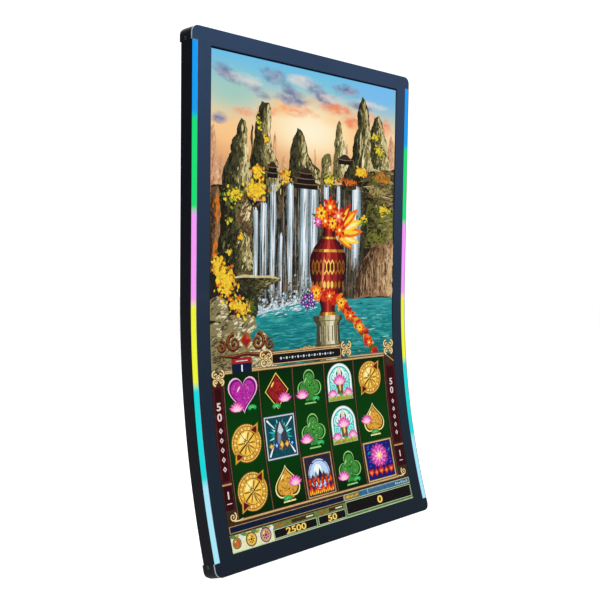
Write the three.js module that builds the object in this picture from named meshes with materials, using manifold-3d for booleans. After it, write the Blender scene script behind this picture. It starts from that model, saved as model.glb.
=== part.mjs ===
// Curved portrait touch display of a slot machine: a J-shaped monitor with light strips down both front
// edges, seen from the front as one tall glass sheet and from behind as a curved cover with a shallow
// electronics housing and a mounting plate.
//
// Units are millimetres. +X runs across the display, the glass faces -Y, and +Z is up. The origin is the
// centre of the mounting plate's rear face.
//
// Two measures place everything in the curved body:
//   s      the height measured along the glass, from its bottom edge upwards
//   depth  the distance behind the front surface of the glass, square to it

import * as THREE from 'three';
import { mergeVertices } from 'three/addons/utils/BufferGeometryUtils.js';
import { ConvexGeometry } from 'three/addons/geometries/ConvexGeometry.js';
import Module from 'manifold-3d';

const wasm = await Module();
wasm.setup();

// ---- Driving dimensions -------------------------------------------------------------------------

// The picture area of a 43 inch 16:9 panel on end, and the borders around it.
const ACTIVE_WIDTH = 529.4;
const ACTIVE_HEIGHT = 941.2;
const SIDE_BORDER = 45.3;
const TOP_BORDER = 35.3;
const BOTTOM_BORDER = 34.2;
const WIDTH = ACTIVE_WIDTH + 2 * SIDE_BORDER;
const LENGTH = ACTIVE_HEIGHT + TOP_BORDER + BOTTOM_BORDER;

// The upper part is flat and upright. Below BEND_START the body curves forward at one radius.
const BEND_START = 517;
const BEND_RADIUS = 1542;
const BEND_STEPS = 16;

// Depths behind the front surface of the glass, from front to back.
const GLASS_THICKNESS = 3;
const RAIL_DEPTH = 33.5;
const CAP_DEPTH = 38;
const HOUSING_FRONT = 33.8;
const HOUSING_REAR = 77.7;
const PLATE_FRONT = 78;
const MOUNT_DEPTH = 82;
const GAP = 0.3;

// The mounting plate's centre, measured up from the start of the bend.
const MOUNT_HEIGHT = 245;

// End caps, corners and light strips.
const CAP_HEIGHT = 27;
const CORNER_RADIUS = 15;
const CORNER_STEPS = 8;
const CAP_CHAMFER = 7;
const CAP_WALL = 2.5;
const STRIP_WIDTH = 13;
const RAIL_WALL = 1.2;
const CAP_SCREW_INSET = 23;
const CAP_SCREW_DEPTH = 19.5;

// Panel module behind the glass.
const PANEL_MARGIN = 4;
const FRAME_SIDE = 24.6;
const TRAY_FRONT = 22.8;

// Sheet cover on the back, with rows of ventilation slots below the housing as [lowest z, highest z].
const COVER_FRONT = 31.7;
const COVER_REAR = 33.2;
const COVER_SLOT_COLUMNS = 24;
const COVER_SLOT_PITCH = 12;
const COVER_SLOT_ROWS = [[-246, -222], [-286, -262]];

// Electronics housing on the back.
const FLANGE_HALF_WIDTH = 204;
const FLANGE_HALF_HEIGHT = 212;
const HOUSING_HALF_WIDTH = 190;
const HOUSING_HALF_HEIGHT = 200;
const HOUSING_CHAMFER = 14;
const HOUSING_CORNER = 10;
const HOUSING_SLOT_PITCH = 14;
const HOUSING_SLOT_ROWS = 10;
const HOUSING_SLOT_COLUMNS = 20;
const HOUSING_WALL = 2;
const PLATE_SIZE = 240;
const VESA_SPACING = 200;
const VESA_HOLE_RADIUS = 3.25;
const PLATE_SCREW_OFFSET = 108;
const BOARD_DEPTH = 42;
const BOARD_THICKNESS = 1.6;

// Keypad on the rear of the housing, and the mains switch under it.
const KEY_COUNT = 5;
const KEY_PITCH = 16;
const KEY_WIDTH = 9.4;
const KEY_HEIGHT = 5.4;
const KEY_CLEARANCE = 0.35;
const KEYPAD_X = 128;
const KEYPAD_Z = -150;
const SWITCH_X = 72;
const INLET_X = 122;
const SOCKET_DEPTH = 48.5;
const ROCKER_TILT = 9;
const ROUND_STEPS = 20;

// ---- Materials ----------------------------------------------------------------------------------

function material(color, roughness, metalness) {
  return new THREE.MeshStandardMaterial({ color, roughness, metalness });
}

const MATERIALS = {
  glass: material(0x22324a, 0.08, 0.0),
  blackPlastic: material(0x101216, 0.45, 0.0),
  anodised: material(0x15181e, 0.38, 0.6),
  paintedSteel: material(0x1b1d21, 0.55, 0.5),
  zincSteel: material(0xb4b8bb, 0.4, 0.85),
  milkyPlastic: material(0xe8f0f4, 0.5, 0.0),
  film: material(0xdfe4e6, 0.35, 0.0),
  board: material(0x1f5a36, 0.5, 0.1),
  adhesive: material(0x0c0c0d, 0.9, 0.0),
  screw: material(0x9a9da1, 0.3, 0.9),
  connector: material(0x2a2c30, 0.4, 0.3),
  ribbon: material(0xc9ccd0, 0.6, 0.0),
};

// ---- Geometry to solid and back -----------------------------------------------------------------

function toSolid(geometry) {
  geometry.deleteAttribute('normal');
  geometry.deleteAttribute('uv');
  const merged = mergeVertices(geometry, 1e-4);
  const vertProperties = new Float32Array(merged.attributes.position.array);
  const triVerts = new Uint32Array(merged.index.array);
  return new wasm.Manifold(new wasm.Mesh({ numProp: 3, vertProperties, triVerts }));
}

function toGeometry(solid) {
  const mesh = solid.getMesh();
  const geometry = new THREE.BufferGeometry();
  geometry.setAttribute('position', new THREE.BufferAttribute(new Float32Array(mesh.vertProperties), 3));
  geometry.setIndex(new THREE.BufferAttribute(new Uint32Array(mesh.triVerts), 1));
  geometry.computeVertexNormals();
  return geometry;
}

function join(solids) {
  return solids.reduce((whole, piece) => whole.add(piece));
}

function cut(solid, tools) {
  return tools.length ? solid.subtract(join(tools)) : solid;
}

// ---- Shapes that follow the display's curve -----------------------------------------------------

function bendAngle(s) {
  return Math.max(BEND_START - s, 0) / BEND_RADIUS;
}

function curvePoint(s, depth) {
  const angle = bendAngle(s);
  const rise = s >= BEND_START ? s - BEND_START : -BEND_RADIUS * Math.sin(angle);
  const y = -MOUNT_DEPTH - BEND_RADIUS * (1 - Math.cos(angle)) + depth * Math.cos(angle);
  const z = rise - depth * Math.sin(angle) - MOUNT_HEIGHT;
  return new THREE.Vector2(y, z);
}

function curveHeights(sMin, sMax) {
  const heights = [sMin];
  for (let step = 0; step <= BEND_STEPS; step += 1) {
    const s = (BEND_START * step) / BEND_STEPS;
    if (s > sMin + 1 && s < sMax - 1) {
      heights.push(s);
    }
  }
  heights.push(sMax);
  return heights;
}

// Turns an outline drawn in (y, z) and extruded by `width` into a solid centred on x = centre.
function acrossX(shape, width, centre) {
  const geometry = new THREE.ExtrudeGeometry(shape, { depth: width, bevelEnabled: false });
  geometry.translate(0, 0, centre - width / 2);
  const yAxis = new THREE.Vector3(0, 1, 0);
  const zAxis = new THREE.Vector3(0, 0, 1);
  const xAxis = new THREE.Vector3(1, 0, 0);
  geometry.applyMatrix4(new THREE.Matrix4().makeBasis(yAxis, zAxis, xAxis));
  return toSolid(geometry);
}

// A slab that follows the curve, between two widths, two depths and two heights along the glass.
function slab(xMin, xMax, depthMin, depthMax, sMin, sMax) {
  const heights = curveHeights(sMin, sMax);
  const front = heights.map((s) => curvePoint(s, depthMin));
  const back = heights.map((s) => curvePoint(s, depthMax)).reverse();
  const shape = new THREE.Shape([...back, ...front]);
  return acrossX(shape, xMax - xMin, (xMin + xMax) / 2);
}

// ---- Shapes on the flat upper part, by depth behind the glass and height above the origin -------

function block(xMin, xMax, depthMin, depthMax, zMin, zMax) {
  const geometry = new THREE.BoxGeometry(xMax - xMin, depthMax - depthMin, zMax - zMin);
  const y = (depthMin + depthMax) / 2 - MOUNT_DEPTH;
  geometry.translate((xMin + xMax) / 2, y, (zMin + zMax) / 2);
  return toSolid(geometry);
}

function blockAt(x, z, width, height, depthMin, depthMax) {
  return block(x - width / 2, x + width / 2, depthMin, depthMax, z - height / 2, z + height / 2);
}

// A round bar along Y.
function bar(radius, depthMin, depthMax, x, z) {
  const geometry = new THREE.CylinderGeometry(radius, radius, depthMax - depthMin, ROUND_STEPS);
  geometry.translate(x, (depthMin + depthMax) / 2 - MOUNT_DEPTH, z);
  return toSolid(geometry);
}

// A round bar along Z.
function post(radius, zMin, zMax, x, depth) {
  const geometry = new THREE.CylinderGeometry(radius, radius, zMax - zMin, ROUND_STEPS);
  geometry.rotateX(Math.PI / 2);
  geometry.translate(x, depth - MOUNT_DEPTH, (zMin + zMax) / 2);
  return toSolid(geometry);
}

// ---- Frames at the two ends of the glass ---------------------------------------------------------

// `outward` is the sign that a distance beyond the end has along the glass.
const ENDS = {
  top: { s: LENGTH, outward: 1 },
  bottom: { s: 0, outward: -1 },
};

// Maps (x, depth, distance up along the glass from this end) to the part's frame.
function endMatrix(end) {
  const angle = bendAngle(end.s);
  const origin = curvePoint(end.s, 0);
  const across = new THREE.Vector3(1, 0, 0);
  const inward = new THREE.Vector3(0, Math.cos(angle), -Math.sin(angle));
  const upward = new THREE.Vector3(0, Math.sin(angle), Math.cos(angle));
  const matrix = new THREE.Matrix4().makeBasis(across, inward, upward);
  matrix.setPosition(0, origin.x, origin.y);
  return matrix;
}

// A prism across the whole end, from an outline of [depth, distance beyond the end] points.
function endPrism(end, outline, width) {
  const points = outline.map(([depth, beyond]) => new THREE.Vector2(depth, beyond * end.outward));
  const prism = acrossX(new THREE.Shape(points), width, 0);
  return prism.transform(endMatrix(end).elements);
}

// What lies outside one rounded corner, as a cutter through the full depth.
function cornerCutter(end, side) {
  const edge = WIDTH / 2;
  const centre = edge - CORNER_RADIUS;
  const outline = [[centre, 1], [edge + 1, 1], [edge + 1, -CORNER_RADIUS]];
  for (let step = 0; step <= CORNER_STEPS; step += 1) {
    const angle = (step / CORNER_STEPS) * (Math.PI / 2);
    const x = centre + CORNER_RADIUS * Math.cos(angle);
    const beyond = -CORNER_RADIUS + CORNER_RADIUS * Math.sin(angle);
    outline.push([x, beyond]);
  }
  const points = outline.map(([x, beyond]) => new THREE.Vector2(side * x, end.outward * beyond));
  const settings = { depth: CAP_DEPTH + 2, bevelEnabled: false };
  const geometry = new THREE.ExtrudeGeometry(new THREE.Shape(points), settings);
  const xAxis = new THREE.Vector3(1, 0, 0);
  const zAxis = new THREE.Vector3(0, 0, 1);
  const front = new THREE.Vector3(0, -1, 0);
  geometry.applyMatrix4(new THREE.Matrix4().makeBasis(xAxis, zAxis, front));
  geometry.translate(0, CAP_DEPTH + 1, 0);
  return toSolid(geometry).transform(endMatrix(end).elements);
}

function cornerCutters(end) {
  return [cornerCutter(end, -1), cornerCutter(end, 1)];
}

// A round bar across X at a cap's screw, measured inwards from the display's side face.
function capBar(end, side, radius, insetMin, insetMax) {
  const geometry = new THREE.CylinderGeometry(radius, radius, insetMax - insetMin, ROUND_STEPS);
  geometry.rotateZ(Math.PI / 2);
  const x = side * (WIDTH / 2 - (insetMin + insetMax) / 2);
  geometry.translate(x, CAP_SCREW_DEPTH, -end.outward * CAP_SCREW_INSET);
  return toSolid(geometry).transform(endMatrix(end).elements);
}

// ---- Glass, touch and panel ----------------------------------------------------------------------

const GLASS_HALF = WIDTH / 2 - STRIP_WIDTH;
const WEB_INSET = STRIP_WIDTH + GAP;
const WEB_THICKNESS = 1.9;
const BODY_LOW = CAP_HEIGHT + GAP;
const BODY_HIGH = LENGTH - CAP_HEIGHT - GAP;
const CELL_HALF = ACTIVE_WIDTH / 2 + PANEL_MARGIN;
const CELL_LOW = BOTTOM_BORDER - PANEL_MARGIN;
const CELL_HIGH = BOTTOM_BORDER + ACTIVE_HEIGHT + PANEL_MARGIN;
const FRAME_INNER = CELL_HALF + 2 * GAP;
const FRAME_OUTER = FRAME_INNER + FRAME_SIDE;
const FRAME_WALL = CELL_HALF + 11;
const SHEET_HALF = FRAME_WALL - GAP;

function coverGlass() {
  const sheet = slab(-WIDTH / 2, WIDTH / 2, 0, GLASS_THICKNESS, 0, LENGTH);
  const notches = [-1, 1].map((side) => {
    const edges = [side * GLASS_HALF, side * (WIDTH / 2 + 1)].sort((a, b) => a - b);
    return slab(edges[0], edges[1], -1, GLASS_THICKNESS + 1, CAP_HEIGHT, LENGTH - CAP_HEIGHT);
  });
  return cut(sheet, [...notches, ...cornerCutters(ENDS.top), ...cornerCutters(ENDS.bottom)]);
}

function bondingTape() {
  const halfWidth = WIDTH / 2 - WEB_INSET - WEB_THICKNESS - GAP;
  const outer = slab(-halfWidth, halfWidth, 3.3, 4.1, BODY_LOW, BODY_HIGH);
  const window = slab(-SHEET_HALF - 1, SHEET_HALF + 1, 3, 5, BODY_LOW + 2, BODY_HIGH - 2);
  return outer.subtract(window);
}

function touchSensor() {
  return slab(-SHEET_HALF, SHEET_HALF, 3.3, 3.7, BODY_LOW + 2.3, BODY_HIGH - 2.3);
}

function panelSheet(depthMin, depthMax, halfWidth) {
  return slab(-halfWidth, halfWidth, depthMin, depthMax, CELL_LOW, CELL_HIGH);
}

// A side bar of the frame that holds the panel: a front ledge, a wall and a rear foot.
function midFrameSide(side) {
  const strip = (inner, outer, depthMin, depthMax) => {
    const edges = [side * inner, side * outer].sort((a, b) => a - b);
    return slab(edges[0], edges[1], depthMin, depthMax, BODY_LOW, BODY_HIGH);
  };
  const ledge = strip(FRAME_INNER, FRAME_OUTER, 4.4, 6.4);
  const wall = strip(FRAME_WALL, FRAME_WALL + 2, 4.4, 24.1);
  const foot = strip(FRAME_WALL, FRAME_OUTER, 22.6, 24.1);
  return join([ledge, wall, foot]);
}

function midFrameEnd(sMin, sMax) {
  return slab(-FRAME_INNER + GAP, FRAME_INNER - GAP, 4.4, 24.1, sMin, sMax);
}

function backlightBar(index) {
  const s = 110 + index * 158;
  return slab(-250, 250, 19.9, 21.7, s - 7, s + 7);
}

function backlightTray() {
  const floor = slab(-SHEET_HALF, SHEET_HALF, TRAY_FRONT, TRAY_FRONT + 1, CELL_LOW, CELL_HIGH);
  const ribs = [-1, 1].map((side) => {
    const centre = side * 150;
    return slab(centre - 10, centre + 10, TRAY_FRONT + 0.5, 28, CELL_LOW + 40, CELL_HIGH - 40);
  });
  return join([floor, ...ribs]);
}

// ---- Side rails, light strips and end caps -------------------------------------------------------

// A strip along one side, between two distances inwards from the side face.
function sideStrip(side, insetMin, insetMax, depthMin, depthMax) {
  const edges = [side * (WIDTH / 2 - insetMin), side * (WIDTH / 2 - insetMax)].sort((a, b) => a - b);
  return slab(edges[0], edges[1], depthMin, depthMax, BODY_LOW, BODY_HIGH);
}

function sideRail(side) {
  return join([
    sideStrip(side, 0, RAIL_WALL, 0.2, RAIL_DEPTH),
    sideStrip(side, 0, WEB_INSET + WEB_THICKNESS, 9.4, 11.2),
    sideStrip(side, WEB_INSET, WEB_INSET + WEB_THICKNESS, GLASS_THICKNESS + GAP, RAIL_DEPTH),
    sideStrip(side, 0, 26, RAIL_DEPTH - 1.8, RAIL_DEPTH),
    sideStrip(side, 24, 34, 29.9, 31.4),
    sideStrip(side, 24, 26, 29.9, RAIL_DEPTH),
  ]);
}

function lightStripLens(side) {
  return sideStrip(side, RAIL_WALL + GAP, STRIP_WIDTH - GAP, 0.2, 5);
}

function lightStripBoard(side) {
  return sideStrip(side, RAIL_WALL + 1.3, STRIP_WIDTH - 1.3, 7.5, 9.1);
}

// The cap is hollow behind the glass and open towards the panel. Its corners stay solid for the screws.
function endCap(end) {
  const sMin = end === ENDS.top ? LENGTH - CAP_HEIGHT : 0;
  const front = GLASS_THICKNESS + GAP;
  const block = slab(-WIDTH / 2, WIDTH / 2, front, CAP_DEPTH, sMin, sMin + CAP_HEIGHT);
  const chamfer = endPrism(end, [
    [CAP_DEPTH - CAP_CHAMFER, 0],
    [CAP_DEPTH - CAP_CHAMFER, 1],
    [CAP_DEPTH + 1, 1],
    [CAP_DEPTH + 1, -CAP_CHAMFER],
    [CAP_DEPTH, -CAP_CHAMFER],
  ], WIDTH + 2);
  const hollowRear = CAP_DEPTH - CAP_WALL;
  const hollow = endPrism(end, [
    [front + CAP_WALL, -CAP_WALL],
    [front + CAP_WALL, -CAP_HEIGHT - 1],
    [hollowRear, -CAP_HEIGHT - 1],
    [hollowRear, -CAP_CHAMFER - 1],
    [hollowRear - CAP_CHAMFER + 1, -CAP_WALL],
  ], WIDTH - 8 * CAP_WALL);
  const screwHoles = [-1, 1].flatMap((side) => [
    capBar(end, side, 3.6, -1, 1.5),
    capBar(end, side, 1.8, 1, 11),
  ]);
  return cut(block, [chamfer, hollow, ...screwHoles, ...cornerCutters(end)]);
}

function capScrew(end, side) {
  return capBar(end, side, 3.2, -0.6, 1.2).add(capBar(end, side, 1.5, 1, 9));
}

// ---- Rear cover and electronics housing ----------------------------------------------------------

function rearCover() {
  const inner = WIDTH / 2 - 26 - GAP;
  const sheet = slab(-inner, inner, COVER_FRONT, COVER_REAR, BODY_LOW, BODY_HIGH);
  const cableWindow = block(-60, 30, 30, 36, -20, 30);
  const slots = [];
  for (let column = 0; column < COVER_SLOT_COLUMNS; column += 1) {
    const x = (column - (COVER_SLOT_COLUMNS - 1) / 2) * COVER_SLOT_PITCH;
    COVER_SLOT_ROWS.forEach(([low, high]) => slots.push(block(x - 1.5, x + 1.5, 28, 36, low, high)));
  }
  return cut(sheet, [cableWindow, ...slots]);
}

// The corner points of a rectangle with cut-off corners, at one depth.
function octagon(halfWidth, halfHeight, depth) {
  const points = [];
  for (const [signX, signZ] of [[1, 1], [-1, 1], [-1, -1], [1, -1]]) {
    points.push([signX * halfWidth, signZ * (halfHeight - HOUSING_CORNER)]);
    points.push([signX * (halfWidth - HOUSING_CORNER), signZ * halfHeight]);
  }
  return points.map(([x, z]) => new THREE.Vector3(x, depth - MOUNT_DEPTH, z));
}

// A shallow tub with its rear edge chamfered all round.
function tub(inset, front) {
  const halfWidth = HOUSING_HALF_WIDTH - inset;
  const halfHeight = HOUSING_HALF_HEIGHT - inset;
  const rear = HOUSING_REAR - inset;
  const shoulder = rear - HOUSING_CHAMFER;
  return toSolid(new ConvexGeometry([
    ...octagon(halfWidth, halfHeight, front),
    ...octagon(halfWidth, halfHeight, shoulder),
    ...octagon(halfWidth - HOUSING_CHAMFER, halfHeight - HOUSING_CHAMFER, rear),
  ]));
}

const PLATE_SCREWS = {
  top: [0, PLATE_SCREW_OFFSET],
  bottom: [0, -PLATE_SCREW_OFFSET],
  left: [-PLATE_SCREW_OFFSET, 0],
  right: [PLATE_SCREW_OFFSET, 0],
};

// Sockets in the housing's lower wall: centre across, centre depth, width and thickness.
const SOCKETS = {
  digital_video_socket: { x: -152, depth: 47.1, width: 15, thickness: 6.2 },
  display_link_socket: { x: -124, depth: 47.1, width: 18, thickness: 6.2 },
  analog_video_socket: { x: -88, depth: 50.1, width: 31, thickness: 12 },
  usb_socket: { x: -54, depth: 49.5, width: 12, thickness: 11 },
  audio_socket: { x: -30, depth: 47.6, width: 8, thickness: 7.2 },
};

function socketBlock(socket, margin, zMin, zMax) {
  const { x, depth, width, thickness } = socket;
  const halfWidth = width / 2 + margin;
  const halfThickness = thickness / 2 + margin;
  return block(x - halfWidth, x + halfWidth, depth - halfThickness, depth + halfThickness, zMin, zMax);
}

function electronicsHousing() {
  const flange = blockAt(
    0,
    0,
    2 * FLANGE_HALF_WIDTH,
    2 * FLANGE_HALF_HEIGHT,
    HOUSING_FRONT,
    HOUSING_FRONT + HOUSING_WALL,
  );
  const shell = flange.add(tub(0, HOUSING_FRONT)).subtract(tub(HOUSING_WALL, HOUSING_FRONT - 1));
  const lower = [-HOUSING_HALF_HEIGHT - 3, -HOUSING_HALF_HEIGHT + 4];
  const openings = Object.values(SOCKETS).map((socket) => socketBlock(socket, 0.5, ...lower));
  openings.push(block(SWITCH_X - 9.4, SWITCH_X + 9.4, 37, 60, ...lower));
  openings.push(block(INLET_X - 14.2, INLET_X + 14.2, 37.8, 59.2, ...lower));
  openings.push(blockAt(KEYPAD_X, KEYPAD_Z, KEY_COUNT * KEY_PITCH + 6, 12.5, 70, 80));
  Object.values(PLATE_SCREWS).forEach(([x, z]) => openings.push(bar(2.4, 70, 80, x, z)));
  for (let row = 0; row < HOUSING_SLOT_ROWS; row += 1) {
    const z = 10 + row * HOUSING_SLOT_PITCH;
    openings.push(block(-195, 195, 42, 58, z - 1.5, z + 1.5));
  }
  for (let column = 0; column < HOUSING_SLOT_COLUMNS; column += 1) {
    const x = (column - (HOUSING_SLOT_COLUMNS - 1) / 2) * HOUSING_SLOT_PITCH;
    openings.push(block(x - 1.5, x + 1.5, 42, 58, 190, 205));
  }
  return cut(shell, openings);
}

function mountPlate() {
  const half = PLATE_SIZE / 2;
  const plate = block(-half, half, PLATE_FRONT, MOUNT_DEPTH, -half, half);
  const holes = Object.values(PLATE_SCREWS).flatMap(([x, z]) => [
    bar(2.4, 76, 83, x, z),
    bar(4.4, 79.2, 83, x, z),
  ]);
  for (const signX of [-1, 1]) {
    for (const signZ of [-1, 1]) {
      const x = (signX * VESA_SPACING) / 2;
      const z = (signZ * VESA_SPACING) / 2;
      holes.push(bar(VESA_HOLE_RADIUS, 76, 83, x, z));
    }
  }
  return cut(plate, holes);
}

function plateScrew([x, z]) {
  return bar(4, 79.5, 81.7, x, z).add(bar(2, 72.5, 80, x, z));
}

// ---- Circuit boards ------------------------------------------------------------------------------

// A board with its components: each is [x, z, width, height, thickness] on the board's rear side.
function circuitBoard(xMin, xMax, zMin, zMax, parts) {
  const face = BOARD_DEPTH + BOARD_THICKNESS;
  const board = block(xMin, xMax, BOARD_DEPTH, face, zMin, zMax);
  const components = parts.map(([x, z, width, height, thickness]) => (
    blockAt(x, z, width, height, face - 0.5, face + thickness)
  ));
  return join([board, ...components]);
}

function timingBoard() {
  const board = block(-120, 120, 24.6, 26.2, 148, 186);
  const chips = [-80, 0, 80].map((x) => blockAt(x, 167, 16, 16, 26, 28.5));
  return join([board, ...chips]);
}

function keypadBoard() {
  const halfWidth = (KEY_COUNT * KEY_PITCH) / 2 + 3;
  const board = blockAt(KEYPAD_X, KEYPAD_Z, 2 * halfWidth, 13, 70, 71.6);
  const domes = keyPositions().map((x) => bar(2.5, 71.2, 73.8, x, KEYPAD_Z));
  return join([board, ...domes]);
}

function panelRibbonCable() {
  const route = [[27.2, 147.6], [28.4, 20], [37, 4], [37.6, -30], [46, -36]];
  const outline = (offset) => route.map(([depth, z]) => new THREE.Vector2(depth + offset - MOUNT_DEPTH, z));
  const shape = new THREE.Shape([...outline(0), ...outline(0.9).reverse()]);
  return acrossX(shape, 24, -36);
}

// ---- Keypad --------------------------------------------------------------------------------------

function keyPositions() {
  return Array.from({ length: KEY_COUNT }, (_, index) => (
    KEYPAD_X + (index - (KEY_COUNT - 1) / 2) * KEY_PITCH
  ));
}

function keypadBezel() {
  const width = KEY_COUNT * KEY_PITCH + 10;
  const plate = blockAt(KEYPAD_X, KEYPAD_Z, width, 16.5, PLATE_FRONT, 79.2);
  const holes = keyPositions().map((x) => {
    const holeWidth = KEY_WIDTH + 2 * KEY_CLEARANCE;
    const holeHeight = KEY_HEIGHT + 2 * KEY_CLEARANCE;
    return blockAt(x, KEYPAD_Z, holeWidth, holeHeight, 77, 80);
  });
  return cut(plate, holes);
}

function keypadKey(x) {
  const cap = blockAt(x, KEYPAD_Z, KEY_WIDTH, KEY_HEIGHT, 75.2, 80.4);
  const flange = blockAt(x, KEYPAD_Z, KEY_WIDTH + 2, KEY_HEIGHT + 2, 75.9, 77.4);
  return cap.add(flange);
}

// ---- Mains switch and sockets --------------------------------------------------------------------

const SOCKET_FACE = -HOUSING_HALF_HEIGHT;
const ROCKER_PIVOT_Z = SOCKET_FACE + 4;

function barAcross(radius, halfLength, x, depth, z) {
  const geometry = new THREE.CylinderGeometry(radius, radius, 2 * halfLength, ROUND_STEPS);
  geometry.rotateZ(Math.PI / 2);
  geometry.translate(x, depth - MOUNT_DEPTH, z);
  return toSolid(geometry);
}

function switchFrame() {
  const flange = block(SWITCH_X - 11.5, SWITCH_X + 11.5, 36.3, 61, SOCKET_FACE - 2.3, SOCKET_FACE - GAP);
  const body = block(SWITCH_X - 9, SWITCH_X + 9, 37.4, 59.6, SOCKET_FACE - 1, SOCKET_FACE + 18);
  const well = block(SWITCH_X - 7.1, SWITCH_X + 7.1, 39.2, 57.8, SOCKET_FACE - 4, SOCKET_FACE + 8);
  const bearings = barAcross(1.6, 8.3, SWITCH_X, SOCKET_DEPTH, ROCKER_PIVOT_Z);
  return cut(flange.add(body), [well, bearings]);
}

// The rocker's ends are arcs about its pivot, and its face is a shallow V.
function switchRocker() {
  const radius = 9;
  const rise = THREE.MathUtils.degToRad(48);
  const shape = new THREE.Shape();
  shape.moveTo(-radius, 0);
  shape.lineTo(radius, 0);
  shape.absarc(0, 0, radius, 0, -rise, true);
  shape.lineTo(0, -4.6);
  shape.absarc(0, 0, radius, -Math.PI + rise, -Math.PI, true);
  const rocker = acrossX(shape, 13.4, 0);
  const tilted = new THREE.Matrix4().makeRotationX(THREE.MathUtils.degToRad(ROCKER_TILT));
  tilted.setPosition(SWITCH_X, SOCKET_DEPTH - MOUNT_DEPTH, ROCKER_PIVOT_Z);
  return rocker.transform(tilted.elements).add(barAcross(1.2, 8, SWITCH_X, SOCKET_DEPTH, ROCKER_PIVOT_Z));
}

// A mains appliance inlet: a screwed flange, a well and three blades in it.
function mainsInlet() {
  const centred = (halfWidth, halfDepth, zMin, zMax) => block(
    INLET_X - halfWidth,
    INLET_X + halfWidth,
    SOCKET_DEPTH - halfDepth,
    SOCKET_DEPTH + halfDepth,
    SOCKET_FACE + zMin,
    SOCKET_FACE + zMax,
  );
  const flange = centred(25, 12, -2.8, -GAP);
  const body = centred(13.7, 10.2, -1, 22);
  const well = centred(12.2, 8.3, -4, 16);
  const blades = [[-7, -1.5], [0, 4], [7, -1.5]].map(([x, offset]) => {
    const depth = SOCKET_DEPTH + offset;
    return block(INLET_X + x - 1, INLET_X + x + 1, depth - 2, depth + 2, SOCKET_FACE + 1, SOCKET_FACE + 17);
  });
  const ears = [-20, 20].map((x) => post(1.7, SOCKET_FACE - 4, SOCKET_FACE + 1, INLET_X + x, SOCKET_DEPTH));
  return join([cut(flange.add(body), [well, ...ears]), ...blades]);
}

// A socket with a rectangular mouth and a contact tongue in the middle of it.
function tongueSocket(socket, wall, tongueWidth, tongueThickness) {
  const outer = SOCKET_FACE - 0.8;
  const body = socketBlock(socket, 0, outer, SOCKET_FACE + 16);
  const mouth = socketBlock(socket, -wall, outer - 1, SOCKET_FACE + 10);
  const tongue = block(
    socket.x - tongueWidth / 2,
    socket.x + tongueWidth / 2,
    socket.depth - tongueThickness / 2,
    socket.depth + tongueThickness / 2,
    outer + 1,
    SOCKET_FACE + 11,
  );
  return body.subtract(mouth).add(tongue);
}

function analogVideoSocket() {
  const socket = SOCKETS.analog_video_socket;
  const body = socketBlock(socket, 0, SOCKET_FACE - 0.8, SOCKET_FACE + 12);
  const shell = block(socket.x - 8.2, socket.x + 8.2, 46, 54.2, SOCKET_FACE - 6, SOCKET_FACE);
  const posts = [-12.5, 12.5].map((offset) => (
    post(2.3, SOCKET_FACE - 5, SOCKET_FACE, socket.x + offset, socket.depth)
  ));
  const pinHoles = [];
  for (let row = 0; row < 3; row += 1) {
    for (let column = 0; column < 5; column += 1) {
      const x = socket.x + (column - 2) * 2.6;
      const depth = socket.depth + (row - 1) * 2.3;
      pinHoles.push(block(x - 0.5, x + 0.5, depth - 0.5, depth + 0.5, SOCKET_FACE - 7, SOCKET_FACE - 2));
    }
  }
  return cut(join([body, shell, ...posts]), pinHoles);
}

function audioSocket() {
  const socket = SOCKETS.audio_socket;
  const body = socketBlock(socket, 0, SOCKET_FACE - 0.8, SOCKET_FACE + 13);
  return body.subtract(post(1.8, SOCKET_FACE - 2, SOCKET_FACE + 11, socket.x, socket.depth));
}

// ---- Assembly ------------------------------------------------------------------------------------

const display = new THREE.Group();

function addPart(name, solid, surface) {
  const mesh = new THREE.Mesh(toGeometry(solid), surface);
  mesh.name = name;
  display.add(mesh);
}

const SIDES = { left: -1, right: 1 };

addPart('cover_glass', coverGlass(), MATERIALS.glass);
addPart('bonding_tape', bondingTape(), MATERIALS.adhesive);
addPart('touch_sensor', touchSensor(), MATERIALS.film);
addPart('lcd_cell', panelSheet(4.4, 6.2, CELL_HALF), MATERIALS.glass);
addPart('optical_films', panelSheet(6.7, 7.5, SHEET_HALF), MATERIALS.film);
addPart('diffuser_plate', panelSheet(7.8, 9.8, SHEET_HALF), MATERIALS.milkyPlastic);
addPart('reflector_sheet', panelSheet(22, 22.5, SHEET_HALF), MATERIALS.film);
addPart('backlight_tray', backlightTray(), MATERIALS.zincSteel);
for (let index = 0; index < 6; index += 1) {
  addPart(`backlight_bar_${index + 1}`, backlightBar(index), MATERIALS.milkyPlastic);
}
addPart('mid_frame_top', midFrameEnd(CELL_HIGH + GAP, BODY_HIGH), MATERIALS.blackPlastic);
addPart('mid_frame_bottom', midFrameEnd(BODY_LOW, CELL_LOW - GAP), MATERIALS.blackPlastic);
addPart('timing_board', timingBoard(), MATERIALS.board);

Object.entries(SIDES).forEach(([name, side]) => {
  addPart(`mid_frame_${name}`, midFrameSide(side), MATERIALS.blackPlastic);
  addPart(`side_rail_${name}`, sideRail(side), MATERIALS.anodised);
  addPart(`light_strip_lens_${name}`, lightStripLens(side), MATERIALS.milkyPlastic);
  addPart(`light_strip_board_${name}`, lightStripBoard(side), MATERIALS.board);
});

Object.entries(ENDS).forEach(([endName, end]) => {
  addPart(`end_cap_${endName}`, endCap(end), MATERIALS.blackPlastic);
  Object.entries(SIDES).forEach(([sideName, side]) => {
    addPart(`cap_screw_${endName}_${sideName}`, capScrew(end, side), MATERIALS.screw);
  });
});

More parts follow.
